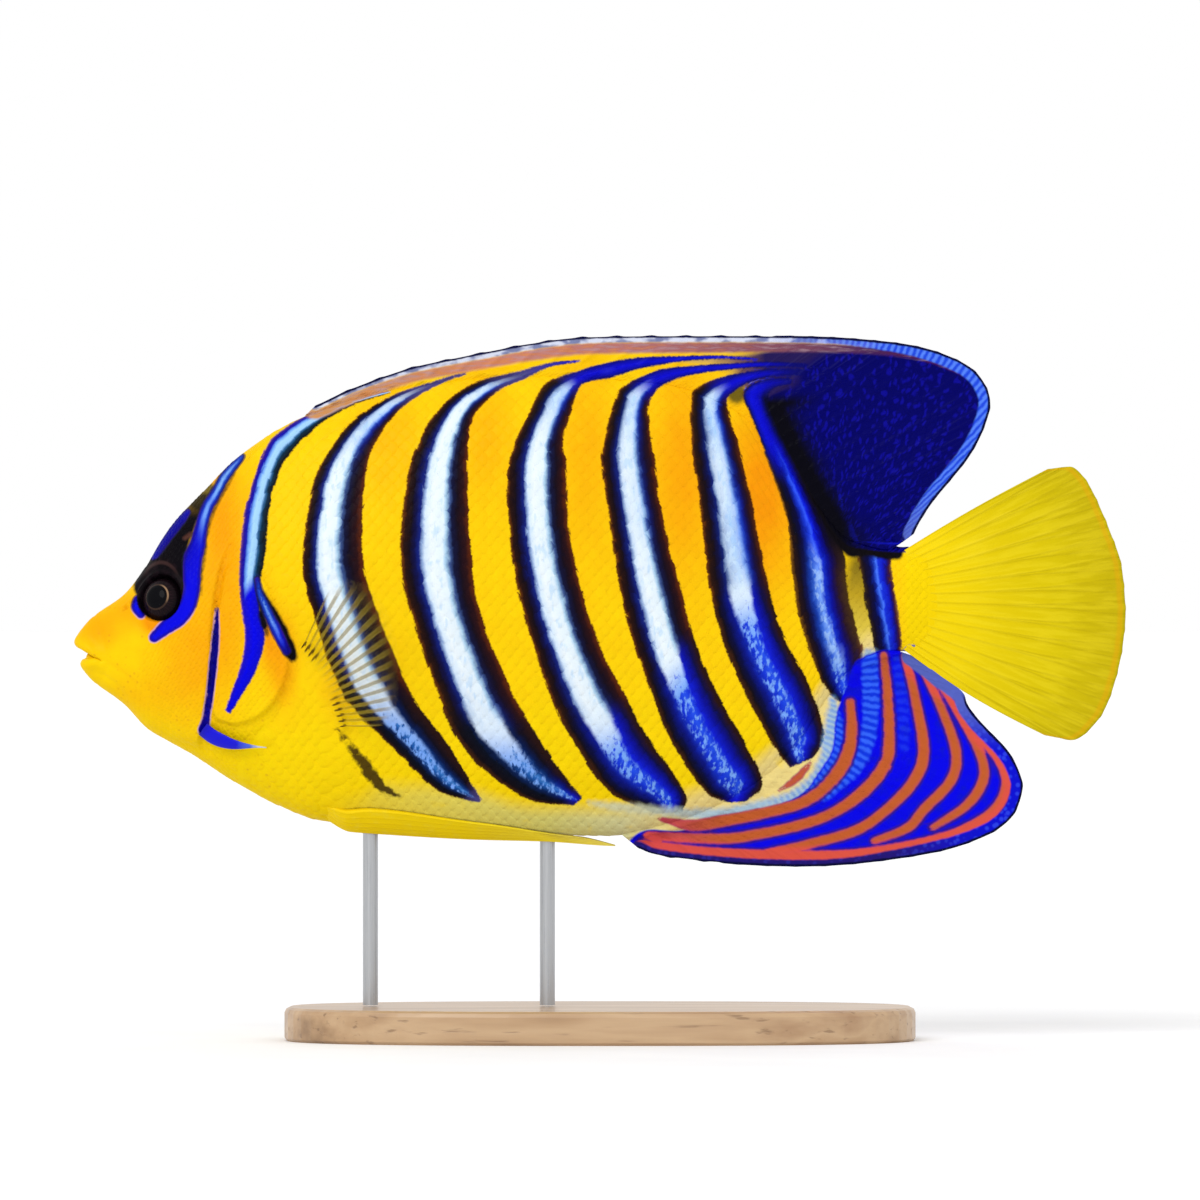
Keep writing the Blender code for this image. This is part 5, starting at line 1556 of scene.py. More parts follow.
def fish_material(name, plates):
    """The whole fish's markings. plates is true for scales, which add their rims and growth rings."""
    p = Paint(name, Specular_IOR_Level=0.02, Coat_Weight=0.03, Coat_Roughness=0.25)
    ragged = p.times(p.add(p.noise(1.5, 3.0), -0.5), 1.5)
    fine = p.add(p.noise(0.5, 2.0), -0.5)
    mottle = p.noise(3.5, 3.0)
    rim, shade, sky = p.field("rim"), p.field("shade"), p.field("sky")
    anal, soft = p.field("anal"), p.field("soft")
    colour = ground_colour(p, mottle, rim)
    edge = p.add(p.field("edge"), p.add(p.times(ragged, 0.2), p.times(fine, 0.5)))
    colour = p.blend(p.step(edge, -0.3, 0.15), colour, bar_colour(p, ragged, fine, rim, sky))
    colour, line, rungs = sky_line_colour(p, colour, ragged)
    colour = mask_colour(p, colour, ragged)
    colour = blue_line_colour(p, colour, ragged)
    colour = orbit_colour(p, colour, fine)
    colour = anal_colour(p, colour, ragged, anal, line, rungs)
    colour, turn = soft_dorsal_colour(p, colour, ragged, soft)
    colour = margin_colour(p, colour, ragged, turn)
    tint = p.tree.nodes.new("ShaderNodeHueSaturation")
    p.link(p.add(0.975, p.times(shade, 0.05)), tint.inputs["Value"])
    p.link(colour, tint.inputs["Color"])
    colour = tint.outputs["Color"]
    if not plates:
        # Painted shade: dark brown inside the mouth's slit, fading out over the lips' inner side
        colour = p.blend(p.times(p.field("lip"), 0.9), colour, (112, 50, 22))
    p.colour(colour)
    p.rough(p.add(0.40, p.times(mottle, 0.14)))
    if plates:
        grow, fan = p.field("grow"), p.field("fan")
        rings = p.math("SINE", p.times(grow, 46.0))
        lines = p.math("SINE", p.times(p.math("DIVIDE", fan, p.add(grow, 0.4)), 24.0))
        texture = p.add(p.times(rings, 0.35), p.times(lines, 0.25))
        p.bump(p.add(texture, p.noise(0.25, 2.0)), 0.022, 0.6)
    else:
        p.bump(p.add(p.noise(0.35, 3.0), p.times(p.cells(0.9), 0.5)), 0.05, 0.6)
    return p.material


def sky_line_colour(p, colour, ragged):
    """The pale band over the anal fin, with its depth and the rungs that cross it."""
    turn, _ = p.spokes(LADDER_CENTRE)
    rungs = p.step(p.math("SINE", p.add(p.times(turn, 122.0), p.times(ragged, 2.6))), -1.2, 1.2)
    line = p.add(p.field("sky_line"), p.times(ragged, 0.9))
    band_tone = p.blend(p.times(rungs, p.step(p.station, 140.0, 152.0)), (150, 192, 226), (96, 156, 232))
    band_tone = p.blend(p.step(p.station, 138.0, 116.0), band_tone, (206, 210, 176))
    colour = p.blend(p.times(p.step(line, -0.9, 0.8), 0.85), colour, band_tone)
    return colour, line, rungs


def mask_colour(p, colour, ragged):
    """Near black on the mask and the stalk's dark line, brown on the breast."""
    on_breast = p.step(p.height, -20.0, -22.0)
    mask = p.add(p.field("mask"), p.times(ragged, p.add(0.4, p.times(on_breast, 0.9))))
    mask_tone = p.blend(p.noise(5.0, 2.0), (4, 2, 8), (14, 9, 14))
    mask_tone = p.blend(on_breast, mask_tone, (48, 26, 12))
    above_mask = p.times(p.step(p.station, 28.4, 26.6), p.step(p.height, 17.0, 21.0))
    shown = p.add(p.add(1.0, p.times(on_breast, -0.06)), p.times(above_mask, -0.2))
    return p.blend(p.times(p.step(mask, -0.5, 0.4), shown), colour, mask_tone)


def blue_line_colour(p, colour, ragged):
    """The blue lines of the head, pale or dark by place, with a lilac or dark rim."""
    blue = p.add(p.field("blue"), p.times(ragged, 0.14))
    dark_rim = p.math("MAXIMUM", p.step(p.height, -3.4, -1.0), p.step(p.station, 35.0, 36.0))
    line_rim = p.blend(dark_rim, "lilac", (24, 26, 60))
    depth = p.times(p.add(blue, 0.5), 0.5)
    line_tone = p.ramp(depth, [(0.14, (60, 20, 150)), (0.30, (16, 10, 170)), (0.55, "royal_blue")])
    pale_tone = p.ramp(depth, [(0.18, (12, 16, 100)), (0.42, (26, 66, 190)), (0.64, (126, 180, 246))])
    line_tone = p.blend(p.times(p.field("dark_line"), 0.8), line_tone, (10, 4, 112))
    line_tone = p.blend(p.field("pale_line"), line_tone, pale_tone)
    colour = p.blend(p.times(p.step(p.field("dark_spot"), -0.3, 0.5), 0.7), colour, (96, 58, 48))
    colour = p.blend(p.times(p.step(blue, -0.62, -0.36), 0.75), colour, line_rim)
    return p.blend(p.step(blue, -0.35, -0.12), colour, line_tone)


def orbit_colour(p, colour, fine):
    """The black surround of the eye, with a painted highlight in brown along its upper lid."""
    orbit_tone = p.blend(p.step(p.noise(1.5, 2.0), 0.4, 0.7), (8, 4, 8), (24, 13, 19))
    orbit = p.field("orbit")
    # Painted highlight: a lighter brown arc along the top of the surround, where light catches the raised
    # upper lid
    lid_highlight = p.times(p.step(orbit, 0.35, 0.7), p.step(orbit, 1.3, 0.9))
    orbit_tone = p.blend(p.times(p.times(lid_highlight, p.step(p.height, 4.0, 8.0)), 0.6), orbit_tone, (70, 46, 44))
    return p.blend(p.step(p.add(orbit, p.times(fine, 0.3)), -0.15, 0.25), colour, orbit_tone)


def anal_colour(p, colour, ragged, anal, line, rungs):
    """The anal fin: blue ground, ladders of paler rungs, rusty lines with dark edges."""
    ground = p.blend(p.step(p.noise(2.5), 0.45, 0.75), (3, 2, 230), (6, 14, 204))
    colour = p.blend(p.step(anal, -0.3, 0.3), colour, ground)
    front_ladder = p.add(0.2, p.times(p.step(p.station, 171.0, 169.0), 0.8))
    ladder = p.times(p.times(p.step(line, -0.5, 0.5), p.step(anal, 0.0, 0.6)), front_ladder)
    colour = p.blend(p.times(ladder, 0.9), colour, p.blend(rungs, (10, 54, 222), (54, 106, 252)))
    orange = p.add(p.field("orange"), p.times(ragged, 0.2))
    dark_bed = p.times(p.step(orange, -0.9, -0.3), p.step(anal, -0.2, 0.4))
    colour = p.blend(p.times(dark_bed, 0.8), colour, (50, 22, 116))
    rust = p.ramp(p.add(p.times(orange, 0.9), 0.35), [
        (0.0, (90, 30, 130)), (0.25, (160, 64, 104)), (0.5, (190, 86, 70)), (0.85, "rust"),
    ])
    rust = p.blend(p.times(p.step(p.station, 138.0, 120.0), 0.6), rust, (206, 62, 104))
    rust = p.blend(p.times(p.step(p.field("margin"), 5.0, 3.4), 0.75), rust, (226, 80, 72))
    return p.blend(p.step(orange, -0.4, 0.15), colour, rust)


def soft_dorsal_colour(p, colour, ragged, soft):
    """The soft part of the dorsal fin: navy, with slightly brighter dashes along its rays."""
    turn, reach = p.spokes(FAN_CENTRE)
    bent = p.add(p.times(turn, 52.0), p.times(p.noise(2.2, 1.0), 2.4))
    dashes = p.step(p.cells(0.95, p.combine(bent, p.times(reach, 0.5))), 0.5, 0.2)
    navy = p.blend(p.times(dashes, 0.9), (0, 0, 96), (10, 8, 146))
    navy = p.blend(p.step(p.field("soft_mark"), -0.2, 0.2), navy, (14, 20, 196))
    in_front = p.times(p.step(p.station, 170.0, 160.0), p.step(p.height, 44.0, 41.0))
    front_edge = p.times(p.step(p.add(soft, p.times(ragged, 0.8)), 7.5, 2.2), in_front)
    navy = p.blend(front_edge, navy, (4, 3, 14))
    upper = p.step(p.height, 43.0, 45.0)
    faded = p.times(upper, p.step(p.add(soft, p.times(ragged, 0.5)), -1.0, 1.8))
    soft_edge = p.add(faded, p.times(p.step(soft, -0.4, 0.2), p.math("SUBTRACT", 1.0, upper)))
    return p.blend(soft_edge, colour, navy), turn


def ground_colour(p, mottle, rim):
    """Yellow, warmer and cooler by patches, olive on the tail stalk, and paler along the belly: the belly's
    own paler tone, made lighter still as painted light against the shade under its curve.
    """
    warm = p.add(p.field("warm"), p.times(p.add(mottle, -0.5), 0.22))
    ground = p.ramp(
        warm, [(0.0, (250, 217, 4)), (0.22, "yellow"), (0.6, (248, 180, 5)), (1.0, (245, 150, 4))]
    )
    ground = p.blend(p.times(rim, 0.14), ground, (238, 168, 4))
    ground = p.blend(p.step(p.station, 172.4, 175.0), ground, (247, 213, 2))
    on_cheek = p.times(p.step(p.station, 48.0, 42.0), p.step(p.height, 16.0, 4.0))
    freckles = p.times(p.step(p.cells(1.5), 0.26, 0.12), p.step(p.noise(6.0), 0.46, 0.6))
    ground = p.blend(p.times(p.times(freckles, on_cheek), 0.25), ground, (196, 110, 30))
    olive = p.ramp(p.times(p.add(p.height, 14.0), 0.04), [
        (0.0, (212, 206, 116)), (0.28, (224, 200, 70)), (0.6, (186, 156, 32)), (0.9, (112, 94, 20)),
    ])
    ground = p.blend(p.step(p.field("dull"), 0.2, 0.8), ground, olive)
    dusk = p.ramp(
        p.times(p.add(p.station, -132.0), 0.04),
        [(0.0, (206, 168, 84)), (0.26, (124, 88, 84)), (0.5, (36, 24, 84))],
    )
    ground = p.blend(p.step(p.field("dusk"), 0.25, 0.9), ground, dusk)
    # The belly's own pale tone, raised above it as painted light to make up for the shade where the belly
    # curves under
    belly_tone_and_fill = p.ramp(p.times(p.station, 1 / TOTAL_LENGTH), [
        (0.25, (236, 206, 30)), (0.36, (230, 214, 92)), (0.45, (222, 216, 120)), (0.52, (216, 214, 158)),
        (0.57, (238, 216, 136)),
    ])
    share = p.times(p.field("belly"), p.step(p.add(mottle, 0.3), 0.3, 0.75))
    return p.blend(share, ground, belly_tone_and_fill)


def bar_colour(p, ragged, fine, rim, sky):
    """The colours across a bar, from its front edge to its rear one."""
    across = p.add(p.field("across"), p.times(p.add(ragged, p.times(fine, 0.5)), 0.035))
    core = p.ramp(across, [
        (0.00, (104, 52, 8)), (0.05, (40, 17, 10)), (0.13, (18, 9, 20)), (0.20, (12, 14, 70)),
        (0.27, (18, 34, 122)), (0.31, (140, 166, 212)), (0.35, (214, 233, 251)), (0.44, (236, 246, 252)),
        (0.60, (226, 241, 251)), (0.645, (168, 204, 232)), (0.70, (60, 84, 140)), (0.75, (16, 20, 56)),
        (0.83, (20, 10, 24)), (0.92, (42, 15, 18)), (0.98, (84, 34, 10)),
    ])
    sky_core = p.ramp(across, [
        (0.00, (110, 60, 12)), (0.07, (46, 26, 10)), (0.14, (24, 13, 20)), (0.22, (10, 14, 44)),
        (0.29, (6, 30, 90)), (0.35, (32, 80, 160)), (0.42, (92, 148, 222)), (0.50, (132, 186, 247)),
        (0.60, (116, 160, 240)), (0.66, (92, 134, 240)), (0.72, (28, 66, 206)), (0.78, (12, 28, 150)),
        (0.84, (14, 12, 84)), (0.90, (28, 12, 36)), (0.97, (58, 26, 10)),
    ])
    streaks = p.noise(1.2, 3.0, stretch=(1.0, 1.0, 0.4))
    in_core = p.times(p.step(across, 0.30, 0.42), p.step(across, 0.66, 0.54))
    core = p.blend(p.times(p.times(p.step(streaks, 0.46, 0.32), in_core), 0.5), core, (176, 214, 250))
    chain = p.math("MAXIMUM", p.step(streaks, 0.50, 0.60), p.times(rim, 0.7))
    sky_core = p.blend(p.times(p.times(chain, in_core), 0.7), sky_core, (184, 220, 251))
    deep = p.field("deep")
    teal_core = p.ramp(across, [
        (0.00, (70, 36, 10)), (0.08, (16, 9, 16)), (0.22, (5, 12, 30)), (0.33, (8, 36, 92)),
        (0.44, (30, 88, 170)), (0.52, (60, 124, 204)), (0.60, (16, 62, 138)), (0.70, (6, 26, 76)),
        (0.80, (14, 10, 26)), (0.95, (40, 18, 14)),
    ])
    royal_core = p.ramp(across, [
        (0.00, (70, 36, 10)), (0.08, (16, 9, 18)), (0.16, (6, 10, 62)), (0.26, (8, 20, 128)),
        (0.40, (20, 52, 212)), (0.52, (36, 80, 232)), (0.64, (14, 30, 210)), (0.76, (8, 14, 150)),
        (0.86, (12, 10, 64)), (0.96, (40, 18, 14)),
    ])
    deep_core = p.blend(p.step(p.station, 98.0, 108.0), teal_core, royal_core)
    streaky = p.noise(0.8, 3.0, stretch=(1.0, 1.0, 0.5))
    whiteness = p.step(p.math("SUBTRACT", p.add(streaky, 0.46), p.times(deep, 0.50)), 0.42, 0.60)
    front_side = p.step(p.math("SUBTRACT", across, p.times(deep, 0.06)), 0.24, 0.33)
    in_middle = p.times(front_side, p.step(p.add(across, p.times(deep, 0.12)), 0.76, 0.66))
    light = p.blend(p.step(deep, 0.2, 0.9), (222, 238, 252), (120, 168, 248))
    deep_core = p.blend(p.times(whiteness, in_middle), deep_core, light)
    thin = p.ramp(
        across,
        [
            (0.00, (14, 12, 96)), (0.25, (10, 10, 176)), (0.5, (10, 10, 206)), (0.75, (10, 10, 176)),
            (1.0, (12, 10, 84)),
        ],
    )
    thin = p.blend(p.step(p.station, 108.0, 92.0), thin, (72, 66, 128))
    thin = p.blend(p.step(p.station, 140.0, 152.0), thin, (8, 8, 104))
    nape = p.ramp(across, [
        (0.00, (104, 56, 130)), (0.08, (34, 14, 140)), (0.19, (14, 14, 172)), (0.29, (112, 164, 240)),
        (0.40, (165, 212, 252)), (0.58, (158, 206, 250)), (0.68, (48, 100, 150)), (0.78, (6, 42, 66)),
        (0.92, (16, 22, 26)),
    ])
    nape_low = p.ramp(
        across,
        [
            (0.0, (88, 46, 168)), (0.10, (22, 10, 190)), (0.45, (3, 3, 228)), (0.88, (8, 6, 200)),
            (1.0, (40, 26, 130)),
        ],
    )
    hook = p.ramp(across, [
        (0.00, (90, 58, 30)), (0.05, (10, 10, 80)), (0.15, (8, 12, 170)), (0.30, (10, 14, 208)),
        (0.48, (7, 8, 196)), (0.62, (6, 7, 160)), (0.72, (3, 4, 100)), (0.82, (4, 4, 44)), (1.0, (4, 4, 30)),
    ])
    middle = p.ramp(across, [
        (0.00, (140, 92, 16)), (0.06, (38, 18, 12)), (0.14, (12, 9, 24)), (0.26, (5, 6, 62)),
        (0.34, (8, 26, 140)), (0.42, (22, 52, 204)), (0.49, (50, 88, 248)), (0.55, (10, 32, 222)),
        (0.63, (2, 6, 150)), (0.73, (6, 2, 50)), (0.84, (12, 7, 20)), (1.0, (10, 6, 18)),
    ])
    low = p.ramp(across, [
        (0.00, (110, 70, 10)), (0.07, (36, 17, 14)), (0.16, (15, 9, 30)), (0.24, (8, 18, 84)),
        (0.32, (20, 56, 160)), (0.40, (60, 108, 216)), (0.49, (118, 162, 250)), (0.57, (20, 50, 200)),
        (0.66, (6, 14, 150)), (0.75, (20, 8, 80)), (0.83, (40, 20, 34)), (1.0, (70, 46, 14)),
    ])
    stalk = p.ramp(across, [
        (0.00, (50, 34, 20)), (0.12, (20, 10, 28)), (0.30, (4, 8, 66)), (0.40, (12, 32, 140)),
        (0.47, (40, 80, 206)), (0.53, (70, 116, 246)), (0.60, (20, 50, 216)), (0.74, (14, 24, 190)),
        (0.84, (20, 12, 110)), (0.92, (60, 20, 40)), (1.0, (130, 86, 50)),
    ])
    low_middle = p.times(p.step(across, 0.34, 0.44), p.step(across, 0.58, 0.5))
    low_worms = p.times(p.step(p.noise(0.8, 2.0, stretch=(1.0, 1.0, 0.5)), 0.46, 0.58), low_middle)
    low = p.blend(p.times(low_worms, 0.5), low, (178, 214, 251))
    rear = p.blend(p.step(p.height, 34.0, 23.0), hook, middle)
    rear = p.blend(p.step(p.height, 14.0, 4.0), rear, low)
    rear = p.blend(p.step(p.height, -8.0, -18.0), rear, deep_core)
    rear = p.blend(p.step(p.station, 163.0, 165.4), rear, stalk)
    bar = p.blend(sky, core, sky_core)
    bar = p.blend(p.step(deep, 0.05, 0.4), bar, deep_core)
    bar = p.blend(p.field("rear_blue"), bar, rear)
    bar = p.blend(p.field("core"), thin, bar)
    return p.blend(p.field("nape"), bar, p.blend(p.step(sky, 0.55, 0.85), nape, nape_low))


def margin_colour(p, colour, ragged, turn):
    """The fins' margins: a thin dark line, a pale segmented edge and, on the back, a rosy band inside it."""
    station, height = p.station, p.height
    margin = p.add(p.field("margin"), p.times(ragged, 0.22))
    edge_width = p.add(0.95, p.times(p.step(station, 52.0, 90.0), 0.45))
    edge_width = p.add(edge_width, p.times(p.step(station, 158.0, 182.0), 1.0))
    band_width = p.ramp(p.times(station, 1 / TOTAL_LENGTH), [
        (0.23, (142,) * 3), (0.45, (160,) * 3), (0.62, (158,) * 3), (0.74, (146,) * 3), (0.85, (132,) * 3),
    ])
    under_edge = p.math("SUBTRACT", margin, edge_width)
    band_depth = p.math("MINIMUM", under_edge, p.math("SUBTRACT", p.times(band_width, 13.4), margin))
    rosy = p.ramp(p.times(station, 1 / TOTAL_LENGTH), [
        (0.25, (199, 143, 90)), (0.40, (204, 130, 108)), (0.52, (180, 112, 108)), (0.64, (140, 82, 96)),
        (0.76, (70, 34, 84)), (0.84, (96, 20, 60)),
    ])
    streaky = p.noise(1.0, 3.0, stretch=(0.22, 1.0, 1.6))
    rosy = p.blend(p.times(p.step(streaky, 0.45, 0.7), 0.5), rosy, (176, 148, 158))
    warm_streak = p.times(p.step(streaky, 0.5, 0.35), p.step(station, 165.0, 100.0))
    rosy = p.blend(p.times(warm_streak, 0.55), rosy, (212, 136, 74))
    shown = p.times(p.step(band_depth, -0.4, 0.5), p.step(height, 26.0, 34.0))
    before_tip = p.math("MAXIMUM", p.step(station, 186.0, 180.0), p.step(height, 45.5, 48.5))
    shown = p.times(shown, p.times(before_tip, p.step(station, 188.5, 184.0)))
    colour = p.blend(shown, colour, rosy)
    segments = p.step(p.math("SINE", p.add(p.times(turn, 300.0), p.times(ragged, 3.0))), -1.2, 1.2)
    pieces = p.step(p.noise(2.2, 2.0, stretch=(0.6, 1.0, 1.0)), 0.42, 0.6)
    front_edge = p.blend(pieces, (122, 130, 172), (214, 220, 240))
    rear_edge = p.blend(segments, (30, 70, 220), (86, 132, 246))
    back_edge = p.blend(p.step(station, 140.0, 172.0), front_edge, rear_edge)
    low_ground = p.blend(p.step(station, 168.0, 192.0), (34, 20, 112), (8, 14, 206))
    low_dots = p.blend(p.step(station, 168.0, 192.0), (42, 36, 140), (40, 62, 226))
    low_edge = p.blend(p.step(p.cells(1.2), 0.56, 0.2), low_ground, low_dots)
    low_edge = p.blend(p.times(p.step(height, -32.0, -20.0), 0.75), low_edge, (96, 112, 190))
    edge_tone = p.blend(p.step(height, 8.0, 26.0), low_edge, back_edge)
    colour = p.blend(p.step(under_edge, 0.35, -0.2), colour, edge_tone)
    near_tail_root = p.step(p.math("ABSOLUTE", p.add(height, 11.0)), 10.5, 8.0)
    by_tail = p.times(p.step(station, 171.0, 174.0), near_tail_root)
    dark_line = p.times(p.step(margin, 0.72, 0.42), p.math("SUBTRACT", 1.0, by_tail))
    return p.blend(dark_line, colour, (6, 8, 58))


def tail_material():
    """Yellow that turns olive to the rear, with darker fine rays and a thin orange line near the edge."""
    p = Paint("tail_fin_skin", Specular_IOR_Level=0.04, Coat_Weight=0.03, Coat_Roughness=0.25)
    share, ray, out = p.field("share"), p.field("ray"), p.field("out")
    base = p.ramp(
        share,
        [
            (0.0, (248, 214, 2)), (0.2, (242, 212, 2)), (0.42, (226, 200, 2)), (0.7, (214, 192, 2)),
            (1.0, (192, 172, 4)),
        ],
    )
    lines = p.times(p.step(ray, 0.35, 0.9), p.add(0.08, p.times(p.step(share, 0.1, 0.6), 0.24)))
    base = p.blend(lines, base, (170, 148, 4))
    along_rays = p.combine(p.times(p.field("ray_at"), 1.6), p.times(out, 0.06))
    fibres = p.step(p.noise(0.5, 3.0, place=along_rays), 0.42, 0.62)
    base = p.blend(p.times(fibres, 0.22), base, (248, 226, 40))
    edge = p.times(p.step(share, 0.955, 0.972), p.step(share, 0.992, 0.98))
    p.colour(p.blend(p.times(edge, 0.45), base, (226, 164, 6)))
    p.rough(p.add(0.38, p.times(p.noise(2.0), 0.14)))
    joints = p.times(p.math("SINE", p.times(out, 7.5)), p.step(ray, 0.4, 0.9))
    p.bump(p.add(p.times(joints, 0.5), fibres), 0.05, 0.5)
    return p.material


def clear_fin_material():
    """A clear membrane between olive rays, whose roots are dark in the upper and lower rays."""
    p = Paint("pectoral_skin", Specular_IOR_Level=0.03)
    share, ray, ray_at = p.field("share"), p.field("ray"), p.field("ray_at")
    off_ray = p.add(p.math("PINGPONG", ray_at, 0.5), p.times(p.add(p.noise(0.8, 2.0), -0.5), 0.12))
    on_ray = p.step(off_ray, 0.28, 0.12)
    along_rays = p.ramp(
        share, [(0.0, (236, 194, 20)), (0.25, (186, 158, 30)), (0.5, (160, 138, 34)), (1.0, (140, 118, 34))]
    )
    colour = p.blend(on_ray, (238, 214, 96), along_rays)
    outer_rays = p.math("MAXIMUM", p.step(ray_at, 9.2, 10.4), p.step(ray_at, 3.8, 2.8))
    near_root = p.times(p.step(share, 0.06, 0.10), p.step(share, 0.20, 0.14))
    marks = p.times(p.times(p.step(off_ray, 0.22, 0.14), outer_rays), near_root)
    p.colour(p.blend(marks, colour, (58, 26, 10)))
    shown = p.times(p.step(share, 0.05, 0.22), p.step(share, 1.0, 0.72))
    seen = p.add(0.012, p.times(p.times(on_ray, shown), 0.40))
    p.link(p.math("MAXIMUM", seen, p.times(marks, 0.85)), p.shader.inputs["Alpha"])
    p.rough(p.add(0.35, p.times(p.noise(1.0), 0.15)))
    p.bump(ray, 0.05, 0.4)
    return p.material


def pelvic_material():
    """Yellow with faint rays, paler to the tip."""
    p = Paint("pelvic_skin", Specular_IOR_Level=0.03, Coat_Weight=0.03, Coat_Roughness=0.25)
    share, ray = p.field("share"), p.field("ray")
    base = p.ramp(
        share, [(0.0, (252, 216, 10)), (0.5, (250, 220, 20)), (0.8, (240, 216, 50)), (1.0, (230, 210, 90))]
    )
    base = p.blend(p.times(p.step(ray, 0.3, 0.9), 0.12), base, (232, 176, 6))
    p.colour(p.blend(p.times(p.step(p.noise(2.0, 3.0), 0.5, 0.75), 0.35), base, (248, 224, 60)))
    p.rough(p.add(0.36, p.times(p.noise(1.5), 0.14)))
    p.bump(p.add(ray, p.noise(0.4)), 0.02, 0.3)
    return p.material


def eye_material():
    """Black pupil, a thin golden ring round it, faint all round and brightened on one side as a painted
    highlight, and a brown-black streaked iris, under a clear coat.
    """
    p = Paint("iris", Specular_IOR_Level=0.02, Coat_Weight=0.08, Coat_Roughness=0.04)
    radius, turn = p.field("radius"), p.field("turn")
    streaks = p.noise(0.6, 3.0, place=p.combine(p.times(turn, 9.0), p.times(radius, 0.5)))
    iris = p.blend(p.step(streaks, 0.35, 0.7), (16, 8, 12), (36, 20, 25))
    iris = p.blend(p.step(radius, 3.3, 4.3), iris, (12, 6, 10))
    ring = p.times(p.step(radius, 2.42, 2.54), p.step(radius, 2.84, 2.68))
    # Painted highlight: the golden ring is faint all round and bright only towards GLINT_TOWARDS
    ring_glint = p.add(0.10, p.times(p.step(p.field("towards_glint"), 0.45, 0.95), 0.85))
    iris = p.blend(p.times(ring, ring_glint), iris, (160, 128, 96))
    p.colour(p.blend(p.step(radius, 2.44, 2.34), iris, (4, 4, 8)))
    p.rough(p.add(0.35, p.times(streaks, 0.15)))
    p.bump(streaks, 0.03, 0.4)
    return p.material


def spine_material():
    """Blue at the root and along the middle, paler to the tip."""
    p = Paint("spine_blue", Specular_IOR_Level=0.12, Coat_Weight=0.06, Coat_Roughness=0.25)
    share = p.add(p.field("share"), p.times(p.add(p.noise(1.2, 2.0), -0.5), 0.15))
    p.colour(
        p.ramp(
            share,
            [
                (0.0, (18, 10, 176)), (0.12, (8, 6, 214)), (0.55, (14, 12, 210)), (0.74, (76, 104, 218)),
                (0.9, (196, 204, 222)),
            ],
        ),
    )
    grain = p.noise(0.5, 3.0, stretch=(0.3, 1.0, 1.0))
    p.rough(p.add(0.34, p.times(grain, 0.15)))
    p.bump(grain, 0.05, 0.5)
    return p.material


def oak_material():
    """Pale oak: long grain with pores, under a satin lacquer."""
    p = Paint("lacquered_oak", Roughness=0.4, Coat_Weight=0.35, Coat_Roughness=0.2)
    bend = p.vector("ADD", p.place, p.combine(0.0, p.times(p.noise(60.0, 2.0), 9.0), 0.0))
    grain = p.noise(7.0, 5.0, place=bend, stretch=(0.06, 1.0, 1.0))
    fine = p.noise(1.1, 4.0, place=bend, stretch=(0.05, 1.0, 1.0))
    colour = p.ramp(
        grain,
        [(0.30, (150, 116, 80)), (0.46, (184, 148, 108)), (0.58, (200, 166, 126)), (0.75, (172, 134, 96))],
    )
    pores = p.step(fine, 0.60, 0.72)
    p.colour(p.blend(p.times(pores, 0.6), colour, (122, 90, 58)))
    p.rough(p.add(0.34, p.times(fine, 0.15)))
    p.bump(p.math("SUBTRACT", grain, pores), 0.10, 0.4)
    return p.material


def steel_material():
    """Steel brushed along the rods."""
    p = Paint("brushed_steel", Metallic=1.0, Roughness=0.3)
    brushed = p.noise(0.25, 3.0, stretch=(1.0, 1.0, 0.03))
    p.colour(p.blend(brushed, (176, 178, 182), (206, 208, 210)))
    p.rough(p.add(0.2, p.times(brushed, 0.22)))
    p.bump(brushed, 0.02, 0.4)
    return p.material


def floor_material():
    """Nearly white, and matt."""
    p = Paint("pale_floor", Roughness=0.75)
    p.colour(p.blend(p.noise(40.0, 3.0), (258, 258, 260), (270, 270, 270)))
    p.bump(p.noise(1.5, 2.0), 0.05, 0.2)
    return p.material


# Scene


def make_room():
    """A wide pale floor."""
    half = FLOOR_HALF
    corners = [(x, y, -AXIS_HEIGHT) for x, y in ((-half, -half), (half, -half), (half, half), (-half, half))]
    floor = add_mesh(
        "floor", np.array(corners) + (TOTAL_LENGTH / 2, 0.0, 0.0), [(0, 1, 2, 3)], floor_material()
    )


def make_lights():
    """White light from all round, and a wide soft lamp from the front left."""
    lamp = bpy.data.lights.new("key", "SUN")
    lamp.energy, lamp.angle = KEY_STRENGTH, math.radians(KEY_SPREAD)
    obj = bpy.data.objects.new("key", lamp)
    obj.rotation_mode = "QUATERNION"
    obj.rotation_quaternion = Vector(KEY_DIRECTION).to_track_quat("-Z", "Y")
    bpy.context.scene.collection.objects.link(obj)
    world = bpy.data.worlds.new("studio")
    world.use_nodes = True
    world.node_tree.nodes["Background"].inputs["Color"].default_value = (1.0, 1.0, 1.0, 1.0)
    world.node_tree.nodes["Background"].inputs["Strength"].default_value = 1.0
    bpy.context.scene.world = world
    bpy.context.scene.view_settings.view_transform = "Standard"


def make_camera():
    """Level, square to the left flank. The picture is 1200 units wide, the fish 1052 of them long."""
    picture, fish_length = 1200.0, 1052.0
    width = TOTAL_LENGTH * MM * picture / fish_length
    distance = 2.4
    data = bpy.data.cameras.new("camera")
    data.sensor_width = 36.0
    data.lens = data.sensor_width * distance / width
    camera = bpy.data.objects.new("camera", data)
    camera.location = (0.0, -distance, AXIS_HEIGHT * MM)
    camera.rotation_euler = (math.radians(90), 0.0, 0.0)
    bpy.context.scene.collection.objects.link(camera)
    bpy.context.scene.camera = camera


def settle(piece, nodes):
    """Makes a piece ride on the model and stand for its nodes."""
    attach(piece, "root")
    if nodes:
        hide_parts(*nodes)


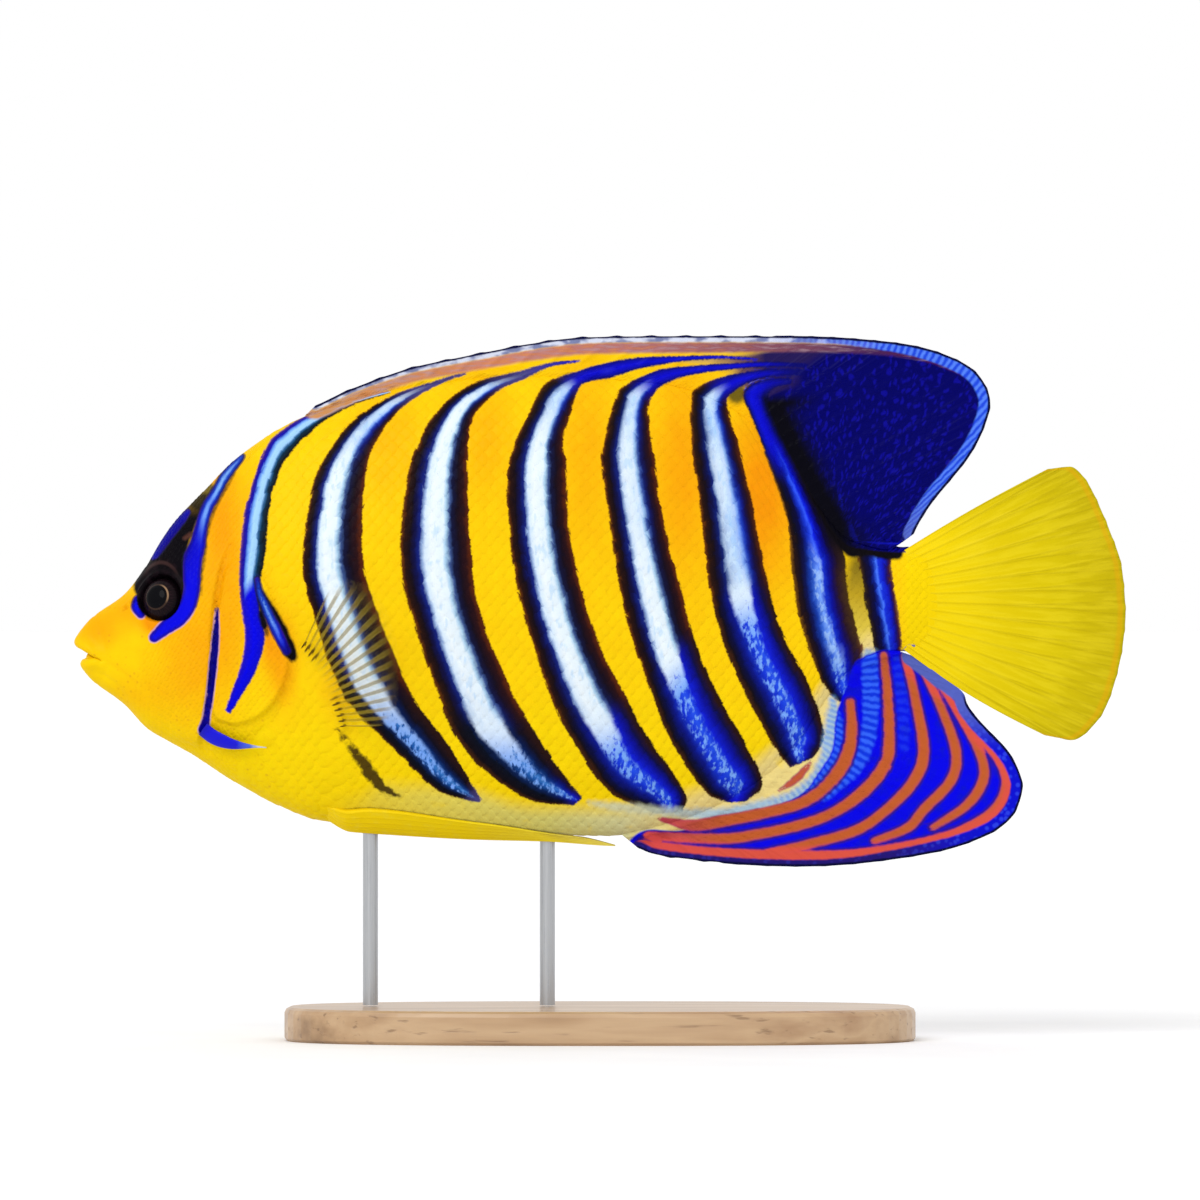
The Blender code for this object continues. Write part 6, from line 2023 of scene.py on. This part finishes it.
def make_trunk(skin_look, scale_look):
    """The skin and its scales."""
    skin, surface = make_skin(skin_look)
    settle(skin, ["head", "torso", "tail_stalk", "gill_cover_left", "gill_cover_right"])
    for piece in make_body_scales(surface, scale_look) + make_head_scales(surface, scale_look):
        settle(piece, [])


def dorsal_scale_reach(station):
    """The share of the dorsal fin's height that scales cover, more on its soft part."""
    return 0.35 + 0.4 * smooth_step((station - 120) / 40)


def anal_scale_reach(station):
    """The share of the anal fin's height that scales cover, none beside the tail."""
    return 0.5 * (station < 171.0)


def make_median_fins(skin_look, scale_look):
    """Dorsal, anal and tail fin, the first two with scales on their bases."""
    dorsal, near, far = median_fin(
        "fin_dorsal", outline_root(back, *DORSAL_ROOT), curve(DORSAL_MARGIN), DORSAL_SPINES, DORSAL_RAYS,
        DORSAL_SOFT_START, 1.6, 1.0, skin_look,
    )
    settle(dorsal, ["dorsal_fin"])
    for piece in make_fin_scales(
        "dorsal_scales", near, far, dorsal_scale_reach, scale_look, DORSAL_SCALE_SEED
    ):
        settle(piece, [])
    anal, near, far = median_fin(
        "fin_anal", outline_root(belly, *ANAL_ROOT), curve(ANAL_MARGIN), ANAL_SPINES, ANAL_RAYS,
        ANAL_SOFT_START, 1.6, 1.0, skin_look,
    )
    settle(anal, ["anal_fin"])
    for piece in make_fin_scales("anal_scales", near, far, anal_scale_reach, scale_look, ANAL_SCALE_SEED):
        settle(piece, [])
    upper, lower = TAIL_ROOT_HEIGHTS
    tail_root = curve([(TAIL_ROOT, upper), (TAIL_ROOT, 0.0), (TAIL_ROOT, lower)])
    tail, _, _ = median_fin(
        "fin_tail", tail_root, curve(TAIL_MARGIN), 0, TAIL_RAYS, {"root": 0.0, "margin": 0.0}, 3.0, 2.1,
        tail_material(), rows=TAIL_ROWS, wave=0.35, bows=TAIL_EDGE_BOWS, thin_edges=0.85,
    )
    settle(tail, ["tail_fin"])


def make_paired_pieces():
    """Pectoral and pelvic fins, eyes and cheek spines, on both sides."""
    clear_look, pelvic_look = clear_fin_material(), pelvic_material()
    iris, spine_look = eye_material(), spine_material()
    for name, side in (("left", -1), ("right", 1)):
        settle(make_pectoral(name, side, clear_look), [f"pectoral_fin_{name}"])
        settle(make_pelvic(name, side, pelvic_look), [f"pelvic_fin_{name}"])
        settle(make_eye(name, side, iris), [f"eye_{name}"])
        settle(make_cheek_spine(name, side, spine_look), [f"cheek_spine_{name}"])


def dress_stand():
    """Oak on the base and brushed steel on the two rods."""
    oak, steel = oak_material(), steel_material()
    for node, look in (("stand_base", oak), ("stand_rod_front", steel), ("stand_rod_rear", steel)):
        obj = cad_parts[node]
        obj.data.materials.clear()
        obj.data.materials.append(look)


def main():
    """Camera, fish, stand, room and light."""
    make_camera()
    skin_look = fish_material("fish_skin", plates=False)
    scale_look = fish_material("fish_scales", plates=True)
    make_trunk(skin_look, scale_look)
    make_median_fins(skin_look, scale_look)
    make_paired_pieces()
    dress_stand()
    make_room()
    make_lights()


main()
